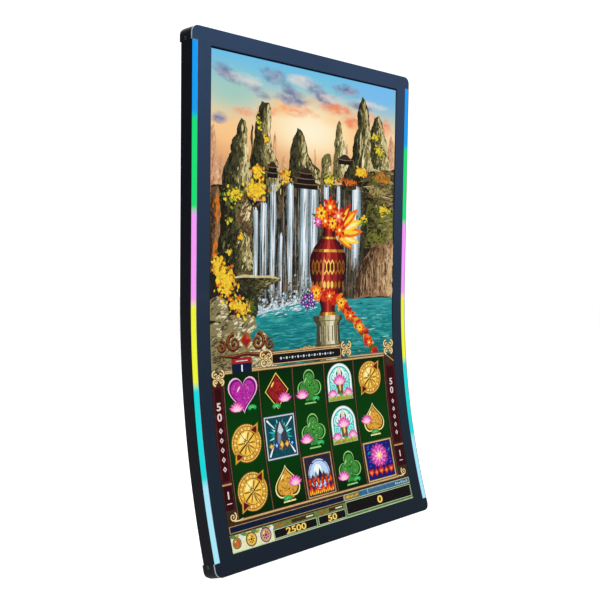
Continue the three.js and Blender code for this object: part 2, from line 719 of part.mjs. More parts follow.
addPart('rear_cover', rearCover(), MATERIALS.paintedSteel);
addPart('electronics_housing', electronicsHousing(), MATERIALS.paintedSteel);
addPart('mount_plate', mountPlate(), MATERIALS.zincSteel);
Object.entries(PLATE_SCREWS).forEach(([name, place]) => {
  addPart(`plate_screw_${name}`, plateScrew(place), MATERIALS.screw);
});

addPart('main_board', circuitBoard(-170, -10, -180, -40, [
  [-120, -110, 40, 40, 12],
  [-60, -100, 20, 20, 4],
  [-60, -60, 60, 10, 6],
]), MATERIALS.board);
addPart('power_board', circuitBoard(10, 172, -170, -20, [
  [60, -100, 34, 40, 22],
  [110, -110, 20, 30, 20],
  [140, -50, 40, 24, 18],
]), MATERIALS.board);
addPart('led_driver_board', circuitBoard(-170, -10, -20, 90, [
  [-140, 30, 24, 24, 14],
  [-90, 30, 24, 24, 14],
  [-50, 70, 60, 10, 6],
]), MATERIALS.board);
addPart('touch_board', circuitBoard(20, 90, 0, 60, [[55, 30, 14, 14, 2]]), MATERIALS.board);
addPart('light_strip_controller', circuitBoard(20, 90, 80, 130, [[55, 105, 14, 14, 3]]), MATERIALS.board);
addPart('panel_ribbon_cable', panelRibbonCable(), MATERIALS.ribbon);

addPart('keypad_board', keypadBoard(), MATERIALS.board);
addPart('keypad_bezel', keypadBezel(), MATERIALS.blackPlastic);
const KEY_NAMES = ['power', 'menu', 'minus', 'plus', 'input'];
keyPositions().forEach((x, index) => {
  addPart(`key_${KEY_NAMES[index]}`, keypadKey(x), MATERIALS.blackPlastic);
});

addPart('switch_frame', switchFrame(), MATERIALS.blackPlastic);
addPart('switch_rocker', switchRocker(), MATERIALS.blackPlastic);
addPart('mains_inlet', mainsInlet(), MATERIALS.connector);
const TONGUES = {
  digital_video_socket: [0.7, 10, 1.6],
  display_link_socket: [0.7, 12, 1.6],
  usb_socket: [1.5, 5.6, 3.2],
};
Object.entries(TONGUES).forEach(([name, tongue]) => {
  addPart(name, tongueSocket(SOCKETS[name], ...tongue), MATERIALS.connector);
});
addPart('analog_video_socket', analogVideoSocket(), MATERIALS.connector);
addPart('audio_socket', audioSocket(), MATERIALS.connector);

export default display;
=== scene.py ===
"""Looks of a curved portrait slot machine display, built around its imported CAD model.

The CAD parts get their materials, and nine of them are replaced: the cover glass and eight screws. The
lit picture is made of thin closed shapes behind the glass. Screws, printed marks and a blank label dress
the back. The studio and the camera come last.

What follows the display's curve is drawn on the unrolled display, in mm: x runs across, s runs up along
the glass from its lower end, and depth runs back from the glass's face. bend() lays it on the curve.
"""
import random
from math import atan2, ceil, cos, pi, radians, sin, sqrt, tan, tau

import bmesh
import bpy
from mathutils import Matrix, Vector
from mathutils.geometry import tessellate_polygon

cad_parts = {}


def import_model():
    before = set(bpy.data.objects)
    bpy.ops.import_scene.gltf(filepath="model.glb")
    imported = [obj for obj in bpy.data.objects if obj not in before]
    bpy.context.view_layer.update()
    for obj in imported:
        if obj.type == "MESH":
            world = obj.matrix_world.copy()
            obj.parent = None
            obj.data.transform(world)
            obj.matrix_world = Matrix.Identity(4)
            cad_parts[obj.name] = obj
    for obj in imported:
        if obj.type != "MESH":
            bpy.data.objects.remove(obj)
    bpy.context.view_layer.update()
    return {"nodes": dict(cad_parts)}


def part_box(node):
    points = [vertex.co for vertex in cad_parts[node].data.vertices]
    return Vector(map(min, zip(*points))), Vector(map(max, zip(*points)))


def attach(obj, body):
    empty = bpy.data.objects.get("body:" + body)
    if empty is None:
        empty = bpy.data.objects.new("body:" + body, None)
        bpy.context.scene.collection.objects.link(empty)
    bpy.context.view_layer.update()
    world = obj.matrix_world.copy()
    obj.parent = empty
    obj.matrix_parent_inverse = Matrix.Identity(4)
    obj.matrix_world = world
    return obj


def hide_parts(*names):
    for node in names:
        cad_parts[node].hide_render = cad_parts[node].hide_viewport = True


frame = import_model()
nodes = frame["nodes"]
MM = 0.001

# ---- The display's sizes and curve, in mm, as in the CAD ----

BEND_START = 517.0  # the glass is flat above this s, and curves forward below it
BEND_RADIUS = 1542.0
BEND_STEP = 12.0  # meshes are cut this often before they are bent
MOUNT_DEPTH, MOUNT_HEIGHT = 82.0, 245.0  # the frame's origin: behind the face, above the bend's start
LENGTH, HALF_WIDTH, CORNER_RADIUS = 1010.7, 310.0, 15.0
STRIP_WIDTH, CAP_HEIGHT = 13.0, 27.0
ACTIVE_HALF, ACTIVE_LOW, ACTIVE_HIGH = 264.7, 34.2, 975.4  # the lit area
MATRIX = (-266.2, 266.2, 33.0, 978.9)  # the opening in the glass's print


def curve(x, depth, s):
    """The point in the part's frame, in metres, of a point drawn on the unrolled display in mm."""
    angle = max(BEND_START - s, 0.0) / BEND_RADIUS
    rise = s - BEND_START if s >= BEND_START else -BEND_RADIUS * sin(angle)
    y = -MOUNT_DEPTH - BEND_RADIUS * (1 - cos(angle)) + depth * cos(angle)
    z = rise - depth * sin(angle) - MOUNT_HEIGHT
    return Vector((x, y, z)) * MM


def height_of(s):
    """The height in metres of a point on the glass's face."""
    return curve(0, 0, s).z


def bend(bm):
    """Cuts the unrolled mesh (x, depth, s) at even heights, then lays it on the curve."""
    heights = [vert.co.z for vert in bm.verts]
    cut = ceil(min(heights) / BEND_STEP) * BEND_STEP
    while cut < min(max(heights), BEND_START + BEND_STEP):
        everything = bm.verts[:] + bm.edges[:] + bm.faces[:]
        bmesh.ops.bisect_plane(bm, geom=everything, plane_co=(0, 0, cut), plane_no=(0, 0, 1), dist=1e-5)
        cut += BEND_STEP
    for vert in bm.verts:
        vert.co = curve(*vert.co)


# ---- Node materials ----


def rgb(red, green, blue):
    """A display colour, 0 to 255, as linear values with alpha."""
    values = [channel / 255 for channel in (red, green, blue)]
    return [v / 12.92 if v <= 0.04045 else ((v + 0.055) / 1.055) ** 2.4 for v in values] + [1.0]


class Look:
    """A Principled material whose colour, roughness and relief come from nodes in object coordinates."""

    def __init__(self, name, **plain):
        self.material = bpy.data.materials.new(name)
        self.material.use_nodes = True
        self.tree = self.material.node_tree
        self.shader = self.tree.nodes["Principled BSDF"]
        for socket, value in plain.items():
            self.shader.inputs[socket.replace("_", " ")].default_value = value
        self.place = self.add("TexCoord").outputs["Object"]

    def add(self, kind, inputs=None, **settings):
        node = self.tree.nodes.new("ShaderNode" + kind)
        for key, value in settings.items():
            setattr(node, key, value)
        for key, value in (inputs or {}).items():
            if isinstance(value, bpy.types.NodeSocket):
                self.tree.links.new(value, node.inputs[key])
            else:
                node.inputs[key].default_value = value
        return node

    def moved(self, scale=(1, 1, 1), shift=(0, 0, 0), turn=(0, 0, 0)):
        place = {"Vector": self.place, "Location": shift, "Rotation": turn, "Scale": scale}
        return self.add("Mapping", place).outputs[0]

    def noise(self, size, detail=4, rough=0.5, warp=0.0, **where):
        vector = self.moved(**where) if where else self.place
        return self.add("TexNoise", {"Vector": vector, "Scale": size, "Detail": detail, "Roughness": rough,
                                     "Distortion": warp}).outputs[0]

    def cells(self, size, output="Distance"):
        return self.add("TexVoronoi", {"Vector": self.place, "Scale": size}).outputs[output]

    def height(self, low, high):
        """How far up a point lies between two heights in metres, from 0 to 1."""
        return self.fit(self.add("SeparateXYZ", {"Vector": self.place}).outputs["Z"], low, high)

    def spot(self, x, s, wide, tall, lean=0.0):
        """A soft oval on the flat part of the screen: 1 at its middle, 0 at its rim."""
        oval = {"Vector": self.place, "Location": curve(x, 0, s), "Rotation": (0, lean, 0),
                "Scale": (wide * MM, 1, tall * MM)}
        placed = self.add("Mapping", oval, vector_type="TEXTURE").outputs[0]
        reach = self.add("VectorMath", {0: placed}, operation="LENGTH").outputs[1]
        return self.add("MapRange", {"Value": reach, "From Min": 1.0, "From Max": 0.0},
                        interpolation_type="SMOOTHSTEP").outputs[0]

    def math(self, operation, a, b):
        return self.add("Math", {0: a, 1: b}, operation=operation).outputs[0]

    def fit(self, value, low, high, to_low=0.0, to_high=1.0):
        return self.add("MapRange", {"Value": value, "From Min": low, "From Max": high, "To Min": to_low,
                                     "To Max": to_high}).outputs[0]

    def ramp(self, value, *stops):
        node = self.add("ValToRGB", {"Fac": value})
        elements = node.color_ramp.elements
        while len(elements) < len(stops):
            elements.new(0.5)
        for element, (place, _) in zip(elements, stops):
            element.position = place
        for element, (_, colour) in zip(elements, stops):
            element.color = colour
        return node.outputs[0]

    def mix(self, factor, a, b, blend="MIX"):
        return self.add("Mix", {0: factor, 6: a, 7: b}, data_type="RGBA", blend_type=blend).outputs[2]

    def shaded(self, colour, value):
        """The colour times a grey value."""
        grey = self.add("CombineColor", {0: value, 1: value, 2: value}).outputs[0]
        return self.mix(1.0, colour, grey, "MULTIPLY")

    def into(self, socket, value):
        self.tree.links.new(value, self.shader.inputs[socket])

    def roughness(self, low, high, *noise):
        """Uneven roughness between two values, from a noise of that size and detail."""
        self.into("Roughness", self.fit(self.noise(*noise), 0.3, 0.7, low, high))

    def relief(self, height, distance, strength=1.0):
        bump = self.add("Bump", {"Height": height, "Distance": distance, "Strength": strength})
        self.into("Normal", bump.outputs[0])


def spread(colour, amount):
    """Two shades of a colour, darker and lighter by the amount."""
    dark = [c * (1 - amount) for c in colour[:3]]
    light = [min(c * (1 + amount), 1.0) for c in colour[:3]]
    return dark + [1.0], light + [1.0]


def surface(name, colour, amount, grain, depth, rough, stretch=(1, 1, 1), **plain):
    """A solid material with slow colour drift, a fine grain in its relief and uneven roughness."""
    look = Look(name, **plain)
    dark, light = spread(rgb(*colour), amount)
    look.into("Base Color", look.ramp(look.noise(9, 5, 0.6), (0.3, dark), (0.7, light)))
    fine = look.noise(grain, 3, 0.6, scale=stretch)
    smudge = look.noise(28, 4, 0.65, 0.4)
    wear = look.math("ADD", look.math("MULTIPLY", fine, 0.4), smudge)
    look.into("Roughness", look.fit(wear, 0.3, 1.0, *rough))
    look.relief(fine, depth)
    return look.material


def glass_border():
    """Navy printed glass with faint wiping marks in its gloss, its colour painted paler towards the top and
    darker down the curve as painted reflection and shade.
    """
    look = Look("glass_border_print_painted_light", Specular_IOR_Level=0.2, Coat_Weight=0.12, Coat_Roughness=0.03)
    # Painted light: the print's navy ramps from dark at the lower end to pale at the top, standing in for the
    # studio's reflection and shade on the glass.
    tone = look.ramp(look.height(-0.76, 0.25), (0.0, rgb(13, 23, 33)), (0.45, rgb(22, 34, 50)),
                     (1.0, rgb(38, 55, 80)))
    look.into("Base Color", look.shaded(tone, look.fit(look.noise(5, 4, 0.55), 0.3, 0.7, 0.92, 1.08)))
    wipe = look.noise(7, 5, 0.6, 0.8, scale=(1, 1, 3.5), turn=(0, 0.5, 0))
    look.into("Roughness", look.fit(wipe, 0.35, 0.75, 0.06, 0.13))
    look.relief(look.noise(3, 2, 0.4), 0.0002, 0.2)
    return look.material


def glass_edge():
    """Ground and polished glass, grey where it is seen edge on."""
    look = Look("glass_polished_edge", Specular_IOR_Level=0.3)
    tone = look.ramp(look.noise(60, 4, 0.6), (0.3, rgb(88, 102, 110)), (0.7, rgb(138, 150, 156)))
    look.into("Base Color", tone)
    look.roughness(0.12, 0.3, 400, 3)
    look.relief(look.noise(700, 3), 0.00003)
    return look.material


# The light strips' sections from the lower end up, where they meet in mm of s, and how far each blends.
STRIP_COLOURS = ((168, 230, 249), (14, 216, 218), (238, 244, 48), (249, 154, 250), (13, 225, 116),
                 (12, 155, 243))
STRIP_BREAKS = [172, 350, 503, 673, 848]
STRIP_FADE = 9


def strip_light():
    """Six lit sections up the strip, with the lamps behind the lens just showing."""
    look = Look("strip_light", Base_Color=rgb(5, 5, 6), Emission_Strength=1.0, Specular_IOR_Level=0.12)
    low, high = CAP_HEIGHT, LENGTH - CAP_HEIGHT
    bottom, top = height_of(low), height_of(high)
    ends = [low - STRIP_FADE] + STRIP_BREAKS + [high + STRIP_FADE]
    stops = []
    for colour, start, end in zip(STRIP_COLOURS, ends, ends[1:]):
        for s in (start + STRIP_FADE, end - STRIP_FADE):
            stops.append(((height_of(s) - bottom) / (top - bottom), rgb(*colour)))
    waves = look.add("TexWave", {"Vector": look.place, "Scale": 31.4, "Distortion": 0.4}, bands_direction="Z")
    lamps = look.fit(waves.outputs[1], 0, 1, 0.985, 1.0)
    look.into("Emission Color", look.shaded(look.ramp(look.height(bottom, top), *stops), lamps))
    look.roughness(0.35, 0.5, 300, 3)
    look.relief(look.noise(600, 3), 0.00003)
    return look.material


def zinc():
    """Spangled zinc plating with upright brush lines."""
    look = Look("zinc_plated_steel", Metallic=0.85)
    spangle = look.add("RGBToBW", {"Color": look.cells(240, "Color")}).outputs[0]
    cloudy = look.math("ADD", look.math("MULTIPLY", spangle, 0.35), look.noise(24, 6, 0.65))
    look.into("Base Color", look.ramp(cloudy, (0.35, rgb(128, 131, 135)), (0.95, rgb(172, 175, 178))))
    look.into("Roughness", look.fit(cloudy, 0.3, 1.0, 0.28, 0.45))
    look.relief(look.noise(1100, 4, 0.6, scale=(1, 1, 0.06)), 0.00003)
    return look.material


def circuit():
    """Green solder mask with darker tracks and a speckle of pads."""
    look = Look("circuit_board", Specular_IOR_Level=0.45)
    upright = look.moved(scale=(130, 130, 130), turn=(pi / 2, 0, 0))
    tracks = look.add("TexBrick", {"Vector": upright, "Color1": rgb(28, 92, 52), "Color2": rgb(22, 78, 46),
                                   "Mortar": rgb(46, 122, 74), "Scale": 1.0, "Mortar Size": 0.06}).outputs[0]
    pads = look.fit(look.cells(260), 0.16, 0.2, 1.0, 0.0)
    look.into("Base Color", look.mix(pads, tracks, rgb(198, 190, 160)))
    look.roughness(0.35, 0.55, 200, 3)
    look.relief(pads, 0.0001)
    return look.material


# Each surface() has its colour, how far that drifts, its grain per metre, the grain's depth in metres, its
# least and most roughness, and where the grain is drawn out, its stretch along x, y and z.
LOOKS = {
    "glass_border": glass_border(),
    "glass_edge": glass_edge(),
    "strip": strip_light(),
    "zinc": zinc(),
    "board": circuit(),
    "rail": surface("anodised_rail", (9, 10, 17), 0.15, 1600, 0.00002, (0.32, 0.44), (1, 1, 0.02),
                    Specular_IOR_Level=0.03),
    "cap": surface("moulded_cap", (9, 10, 14), 0.15, 1300, 0.00005, (0.45, 0.6), Specular_IOR_Level=0.06),
    "cover": surface("powder_coated_steel", (23, 25, 30), 0.18, 850, 0.00009, (0.42, 0.58),
                     Specular_IOR_Level=0.45),
    "plastic": surface("moulded_plastic", (17, 18, 21), 0.15, 1500, 0.00004, (0.35, 0.5),
                       Specular_IOR_Level=0.4),
    "key": surface("key_plastic", (30, 32, 36), 0.12, 1900, 0.00003, (0.3, 0.45), Specular_IOR_Level=0.45),
    "print": surface("white_print", (206, 209, 212), 0.06, 1200, 0.00001, (0.5, 0.6)),
    "screw": surface("screw_steel", (150, 153, 158), 0.12, 1500, 0.00003, (0.22, 0.38), (1, 0.05, 1),
                     Metallic=0.9),
    "black_screw": surface("blackened_screw", (58, 60, 64), 0.15, 1500, 0.00003, (0.3, 0.45), Metallic=0.85),
    "nickel": surface("nickel_shell", (176, 178, 178), 0.08, 1200, 0.00002, (0.2, 0.34), Metallic=0.95),
    "socket": surface("socket_plastic", (24, 25, 28), 0.1, 1500, 0.00003, (0.4, 0.55)),
    "blue_socket": surface("blue_socket_plastic", (36, 66, 150), 0.1, 1500, 0.00003, (0.4, 0.55)),
    "green_socket": surface("green_socket_plastic", (90, 170, 90), 0.1, 1500, 0.00003, (0.4, 0.55)),
    "film": surface("optical_film", (222, 227, 230), 0.04, 500, 0.00002, (0.25, 0.4)),
    "milky": surface("milky_plastic", (228, 234, 236), 0.04, 700, 0.00003, (0.4, 0.55)),
    "dark_glass": surface("panel_glass", (16, 18, 24), 0.1, 300, 0.00001, (0.06, 0.14)),
    "foam": surface("black_foam_tape", (12, 12, 13), 0.2, 2200, 0.0002, (0.85, 0.95)),
    "ribbon": surface("ribbon_cable", (196, 198, 200), 0.05, 900, 0.00008, (0.45, 0.6), (1, 1, 0.02)),
    "gasket": surface("rubber_gasket", (8, 9, 10), 0.2, 1500, 0.00005, (0.7, 0.85)),
}

# ---- Solids drawn flat, and how they become pieces ----

SHARP_ANGLE = radians(32)  # edges sharper than this stay crisp


def polar(x, s, reach, angle):
    """The point at that distance and angle from (x, s)."""
    return x + reach * cos(angle), s + reach * sin(angle)


def circle(x, s, radius, steps=24):
    return [polar(x, s, radius, tau * k / steps) for k in range(steps)]


def square(x_low, x_high, s_low, s_high):
    return [(x_low, s_low), (x_high, s_low), (x_high, s_high), (x_low, s_high)]


def rounded(x_low, x_high, s_low, s_high, radius, steps=6):
    """A rectangle with round corners, anticlockwise."""
    points = []
    for x, s, start in ((x_high, s_high, 0), (x_low, s_high, 1), (x_low, s_low, 2), (x_high, s_low, 3)):
        cx = x - radius if x == x_high else x + radius
        cs = s - radius if s == s_high else s + radius
        points += [polar(cx, cs, radius, pi / 2 * (start + k / steps)) for k in range(steps + 1)]
    return points


def inset_loop(loop, inset):
    """The loop moved towards the material on its left, its corners mitred."""
    moved = []
    for i, here in enumerate(map(Vector, loop)):
        before, after = Vector(loop[i - 1]), Vector(loop[(i + 1) % len(loop)])
        a, b = (here - before).normalized(), (after - here).normalized()
        normal = Vector((-a.y - b.y, a.x + b.x))
        normal = normal / max(normal.length_squared / 2, 1e-6)
        moved.append(here + normal * inset)
    return moved


def plate(bm, loops, near, far, fillet=0.0, slot=0, edge_slot=None, fillet_steps=3):
    """A closed plate of [outer, hole, ...] loops of (x, s), material on the left of each, edges rounded."""
    levels = [(0.0, near), (0.0, far)]
    if fillet:
        turns = [pi / 2 * k / fillet_steps for k in range(fillet_steps + 1)]
        levels = [(fillet * (1 - sin(t)), near + fillet * (1 - cos(t))) for t in turns]
        levels += [(inset, near + far - depth) for inset, depth in reversed(levels)]
    made = [[[bm.verts.new((point.x, depth, point.y)) for point in inset_loop(loop, inset)] for loop in loops]
            for inset, depth in levels]
    for level in (made[0], made[-1]):
        flat = [vert for ring in level for vert in ring]
        outline = [[Vector((vert.co.x, vert.co.z, 0)) for vert in ring] for ring in level]
        for triangle in tessellate_polygon(outline):
            bm.faces.new([flat[k] for k in triangle]).material_index = slot
    for upper, lower in zip(made, made[1:]):
        for ring_a, ring_b in zip(upper, lower):
            for i in range(len(ring_a)):
                j = (i + 1) % len(ring_a)
                face = bm.faces.new((ring_a[j], ring_a[i], ring_b[i], ring_b[j]))
                face.material_index = slot if edge_slot is None else edge_slot


def even_normals(thing):
    thing.modifiers.new("even_normals", "WEIGHTED_NORMAL").keep_sharp = True


def finish_mesh(name, bm, looks, body="display"):
    """Turns the mesh into a piece that rides on a body, smooth except along its real edges."""
    bmesh.ops.recalc_face_normals(bm, faces=bm.faces[:])
    mesh = bpy.data.meshes.new(name)
    bm.to_mesh(mesh)
    bm.free()
    mesh.shade_smooth()
    mesh.set_sharp_from_angle(angle=SHARP_ANGLE)
    for look in looks:
        mesh.materials.append(look)
    piece = bpy.data.objects.new(name, mesh)
    bpy.context.scene.collection.objects.link(piece)
    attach(piece, body)
    return piece


# ---- Front glass ----

GLASS_THICKNESS, GLASS_EDGE_RADIUS = 3.0, 0.45
BORDER, EDGE, SEAL = 0, 1, 2  # material slots of the glass


def front_glass():
    """The cover glass: full width at both ends, narrower between the light strips, open round the picture."""
    edge, inner, low, high = HALF_WIDTH, HALF_WIDTH - STRIP_WIDTH, CAP_HEIGHT, LENGTH - CAP_HEIGHT
    corner = CORNER_RADIUS

    def arc(cx, cs, start):
        return [polar(cx, cs, corner, start + pi / 2 * k / 10) for k in range(11)]

    outer = arc(edge - corner, LENGTH - corner, 0) + arc(corner - edge, LENGTH - corner, pi / 2)
    outer += [(-edge, high), (-inner, high), (-inner, low), (-edge, low)]
    outer += arc(corner - edge, corner, pi) + arc(edge - corner, corner, pi * 1.5)
    outer += [(edge, low), (inner, low), (inner, high), (edge, high)]
    window = rounded(*MATRIX, 1.0, 3)[::-1]
    bm = bmesh.new()
    plate(bm, [outer, window], 0.0, GLASS_THICKNESS, GLASS_EDGE_RADIUS, BORDER, EDGE, 2)
    for face in bm.faces:
        centre = face.calc_center_median()
        at_window = abs(centre.x) < MATRIX[1] + 1 and MATRIX[2] - 1 < centre.z < MATRIX[3] + 1
        if face.material_index == EDGE and at_window:
            face.material_index = SEAL
    bend(bm)
    looks = [LOOKS["glass_border"], LOOKS["glass_edge"], LOOKS["gasket"]]
    piece = finish_mesh("front_glass", bm, looks)
    even_normals(piece)
    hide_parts("cover_glass")


front_glass()

# ---- CAD parts that keep their shape ----


def smooth_by_angle():
    """A node group for the CAD parts: smooth shading, except along sharp edges."""
    group = bpy.data.node_groups.new("smooth_by_angle", "GeometryNodeTree")
    for way in ("INPUT", "OUTPUT"):
        group.interface.new_socket("Geometry", in_out=way, socket_type="NodeSocketGeometry")
    entry, leave = group.nodes.new("NodeGroupInput"), group.nodes.new("NodeGroupOutput")
    faces = group.nodes.new("GeometryNodeSetShadeSmooth")
    edges = group.nodes.new("GeometryNodeSetShadeSmooth")
    edges.domain = "EDGE"
    edges.inputs["Shade Smooth"].default_value = False
    angle = group.nodes.new("GeometryNodeInputMeshEdgeAngle")
    sharp = group.nodes.new("FunctionNodeCompare")
    sharp.operation = "GREATER_THAN"
    sharp.inputs[1].default_value = SHARP_ANGLE
    group.links.new(entry.outputs[0], faces.inputs[0])
    group.links.new(faces.outputs[0], edges.inputs[0])
    group.links.new(angle.outputs[0], sharp.inputs[0])
    group.links.new(sharp.outputs[0], edges.inputs["Selection"])
    group.links.new(edges.outputs[0], leave.inputs[0])
    return group


SMOOTH = smooth_by_angle()

# Each look with the bevel of its edges in mm, the bevel's segments, and the start of its parts' names.
DRESSES = (
    ("rail", 0.45, 2, "side_rail"),
    ("cap", 0.8, 3, "end_cap"),
    ("strip", 1.0, 3, "light_strip_lens"),
    ("cover", 0.3, 1, "rear_cover"),
    ("cover", 0.7, 2, "electronics_housing"),
    ("zinc", 0.5, 2, "mount_plate"),
    ("plastic", 0.25, 2, "keypad_bezel"),
    ("plastic", 0.4, 2, "switch_frame"),
    ("key", 0.5, 3, "key_"),
    ("key", 0.35, 2, "switch_rocker"),
    ("socket", 0.4, 2, "mains_inlet"),
    ("nickel", 0.12, 2, "digital_video_socket display_link_socket usb_socket"),
    ("blue_socket", 0.15, 2, "analog_video_socket"),
    ("green_socket", 0.25, 2, "audio_socket"),
    ("plastic", 0, 0, "mid_frame"),
    ("zinc", 0, 0, "backlight_tray"),
    ("milky", 0, 0, "backlight_bar diffuser_plate"),
    ("film", 0, 0, "touch_sensor optical_films reflector_sheet"),
    ("dark_glass", 0, 0, "lcd_cell"),
    ("foam", 0, 0, "bonding_tape"),
    ("ribbon", 0, 0, "panel_ribbon_cable"),
    ("board", 0, 0, "light_strip_board light_strip_controller keypad_board touch_board led_driver_board"),
    ("board", 0, 0, "timing_board main_board power_board"),
)


def dress(part, look, bevel, segments):
    """Gives a CAD part its material, softened edges and smooth shading."""
    for material_slot in part.material_slots:
        material_slot.material = LOOKS[look]
    if bevel:
        edge = part.modifiers.new("edge", "BEVEL")
        edge.width = bevel * MM
        edge.segments = segments
        edge.limit_method = "ANGLE"
        edge.angle_limit = SHARP_ANGLE
        edge.use_clamp_overlap = True
    part.modifiers.new("shading", "NODES").node_group = SMOOTH
    even_normals(part)


for *look_and_edge, starts in DRESSES:
    for name in nodes:
        if name.startswith(tuple(starts.split())):
            dress(nodes[name], *look_and_edge)

# ---- Inks of the lit picture ----

# Each ink's display colour, and how much darker and lighter its mottling is.
INKS = {
    "rock_deep": (30, 30, 18, 0.4), "rock_dark": (62, 60, 36, 0.4), "rock_mid": (108, 102, 62, 0.35),
    "rock_warm": (154, 138, 86, 0.3), "rock_light": (204, 190, 138, 0.22), "rock_pale": (238, 226, 182, 0.14),
    "haze_dark": (176, 124, 92, 0.2), "haze": (206, 156, 118, 0.15), "haze_light": (232, 190, 146, 0.1),
    "cliff_deep": (58, 42, 28, 0.4), "cliff_dark": (98, 72, 48, 0.35), "cliff": (138, 104, 72, 0.3),
    "cliff_light": (178, 142, 100, 0.25), "cliff_pale": (204, 172, 130, 0.2),
    "wet_deep": (34, 31, 25, 0.5), "wet_dark": (62, 54, 41, 0.45), "wet_brown": (98, 80, 58, 0.4),
    "wet_grey": (112, 112, 98, 0.3), "veil": (150, 160, 158, 0.15), "mist": (208, 222, 226, 0.1),
    "stream_shade": (120, 142, 152, 0.2), "stream_blue": (168, 192, 204, 0.12),
    "stream": (206, 220, 230, 0.08), "stream_white": (238, 242, 246, 0.04),
    "lake_deep": (8, 84, 92, 0.3), "lake_light": (64, 168, 166, 0.2), "lake_green": (40, 136, 110, 0.25),
    "lake_glint": (150, 206, 180, 0.15),
    "moss": (112, 110, 46, 0.3), "leaf_deep": (36, 42, 18, 0.4), "leaf_olive": (94, 92, 38, 0.3),
    "leaf_lime": (160, 162, 48, 0.3), "leaf_yellow": (234, 196, 50, 0.22), "leaf_gold": (220, 152, 34, 0.25),
    "leaf_orange": (206, 112, 30, 0.25), "leaf_red": (150, 62, 34, 0.3), "leaf_green": (66, 98, 40, 0.3),
    "roof_deep": (26, 20, 16, 0.4), "roof": (62, 46, 36, 0.35), "roof_light": (124, 100, 74, 0.25),
    "red_deep": (52, 8, 12, 0.3), "red_dark": (92, 16, 20, 0.3), "red": (146, 30, 30, 0.25),
    "red_light": (198, 66, 48, 0.2), "red_glow": (236, 130, 90, 0.15),
    "petal_red": (196, 36, 20, 0.25), "petal_orange": (240, 112, 22, 0.2),
    "petal_yellow": (253, 206, 56, 0.12), "violet_dark": (74, 30, 110, 0.3), "plum": (128, 60, 150, 0.2),
    "gold_deep": (96, 58, 20, 0.35), "gold_dark": (150, 98, 32, 0.3), "gold": (214, 156, 54, 0.25),
    "gold_light": (246, 206, 96, 0.15), "gold_bright": (236, 188, 66, 0.2),
    "gold_pale": (255, 236, 160, 0.08),
    "stone_dark": (70, 62, 42, 0.35), "stone": (132, 122, 84, 0.3), "stone_light": (196, 184, 140, 0.2),
    "stone_pale": (226, 218, 186, 0.12),
    "bronze_dark": (58, 40, 26, 0.35), "bronze": (112, 84, 54, 0.3), "bronze_light": (186, 150, 100, 0.2),
    "tan": (216, 180, 128, 0.15),
    "magenta_dark": (110, 20, 104, 0.3), "magenta": (180, 44, 160, 0.25),
    "pink_light": (252, 190, 226, 0.08), "pink": (236, 112, 186, 0.15), "pink_deep": (186, 52, 140, 0.2),
    "green_dark": (14, 70, 24, 0.3), "green": (62, 140, 56, 0.3), "green_light": (150, 204, 120, 0.15),
    "leaf": (36, 176, 92, 0.2), "leaf_shade": (12, 106, 52, 0.3),
    "teal_deep": (10, 72, 84, 0.3), "teal": (40, 168, 166, 0.2), "ice": (150, 236, 226, 0.1),
    "blue_deep": (24, 26, 110, 0.3), "blue": (44, 76, 196, 0.25), "violet": (104, 60, 190, 0.25),
    "moon": (186, 212, 240, 0.1), "night": (40, 34, 62, 0.3), "navy": (12, 26, 54, 0.3),
    "steel_dark": (52, 62, 74, 0.3), "steel": (120, 134, 146, 0.2), "steel_light": (196, 208, 216, 0.1),
    "ink_black": (20, 16, 15, 0.4), "matrix": (3, 8, 34, 0.3), "white": (240, 248, 244, 0.04),
    "sign_red": (160, 34, 38, 0.2), "side_red": (84, 10, 18, 0.3), "side_dark": (50, 6, 12, 0.3),
    "pale_print": (226, 206, 206, 0.08),
    "bar_green": (96, 130, 70, 0.25), "bar_blue": (50, 100, 144, 0.25), "pale_green": (182, 204, 164, 0.15),
    "olive": (120, 116, 60, 0.3), "cream": (224, 226, 184, 0.1),
}


def lit(name):
    """A glossy screen surface that shines in the colour its nodes give it."""
    look = Look("picture_" + name, Base_Color=rgb(2, 2, 3), Emission_Strength=1.0, Specular_IOR_Level=0.08)
    look.roughness(0.1, 0.2, 11, 4, 0.6, 0.6)
    return look


# Soft ovals of colour on the sky, as (x, s, half width, half height), colour and strength.
SKY_TINTS = (
    ((-215, 890, 120, 80), (150, 202, 192), 0.8), ((205, 955, 130, 60), (118, 184, 240), 0.8),
    ((-215, 830, 110, 70), (250, 200, 138), 0.85), ((10, 850, 230, 105), (254, 222, 166), 1.0),
    ((150, 870, 90, 80), (252, 200, 136), 0.8), ((-10, 852, 140, 66), (254, 242, 210), 1.0),
    ((-84, 890, 56, 26), (248, 196, 130), 0.9), ((60, 884, 60, 22), (252, 212, 156), 0.7),
)
# Banks of cloud: the ovals that they fill, some leaning, with their dark and light colours and strength.
SKY_CLOUDS = (
    (((52, 908, 120, 26), (-40, 890, 90, 22), (-190, 868, 80, 20), (118, 884, 60, 26), (232, 890, 50, 40),
      (-120, 880, 60, 18), (170, 905, 70, 22)), (236, 132, 92), (250, 190, 146), 0.9),
    (((-112, 950, 80, 30, 0.3), (-150, 912, 62, 22, 0.3), (-62, 926, 80, 24, 0.3), (14, 934, 96, 26, 0.25),
      (-60, 908, 90, 18), (100, 950, 70, 22), (-230, 934, 60, 24, 0.3), (-246, 852, 42, 20),
      (150, 922, 70, 18)), (96, 110, 150), (160, 156, 182), 0.9),
    (((-30, 950, 90, 22), (-180, 930, 80, 22), (60, 925, 70, 16), (180, 930, 90, 16)),
     (214, 206, 208), (244, 228, 208), 0.6),
)
HORIZON = 700  # mm of s


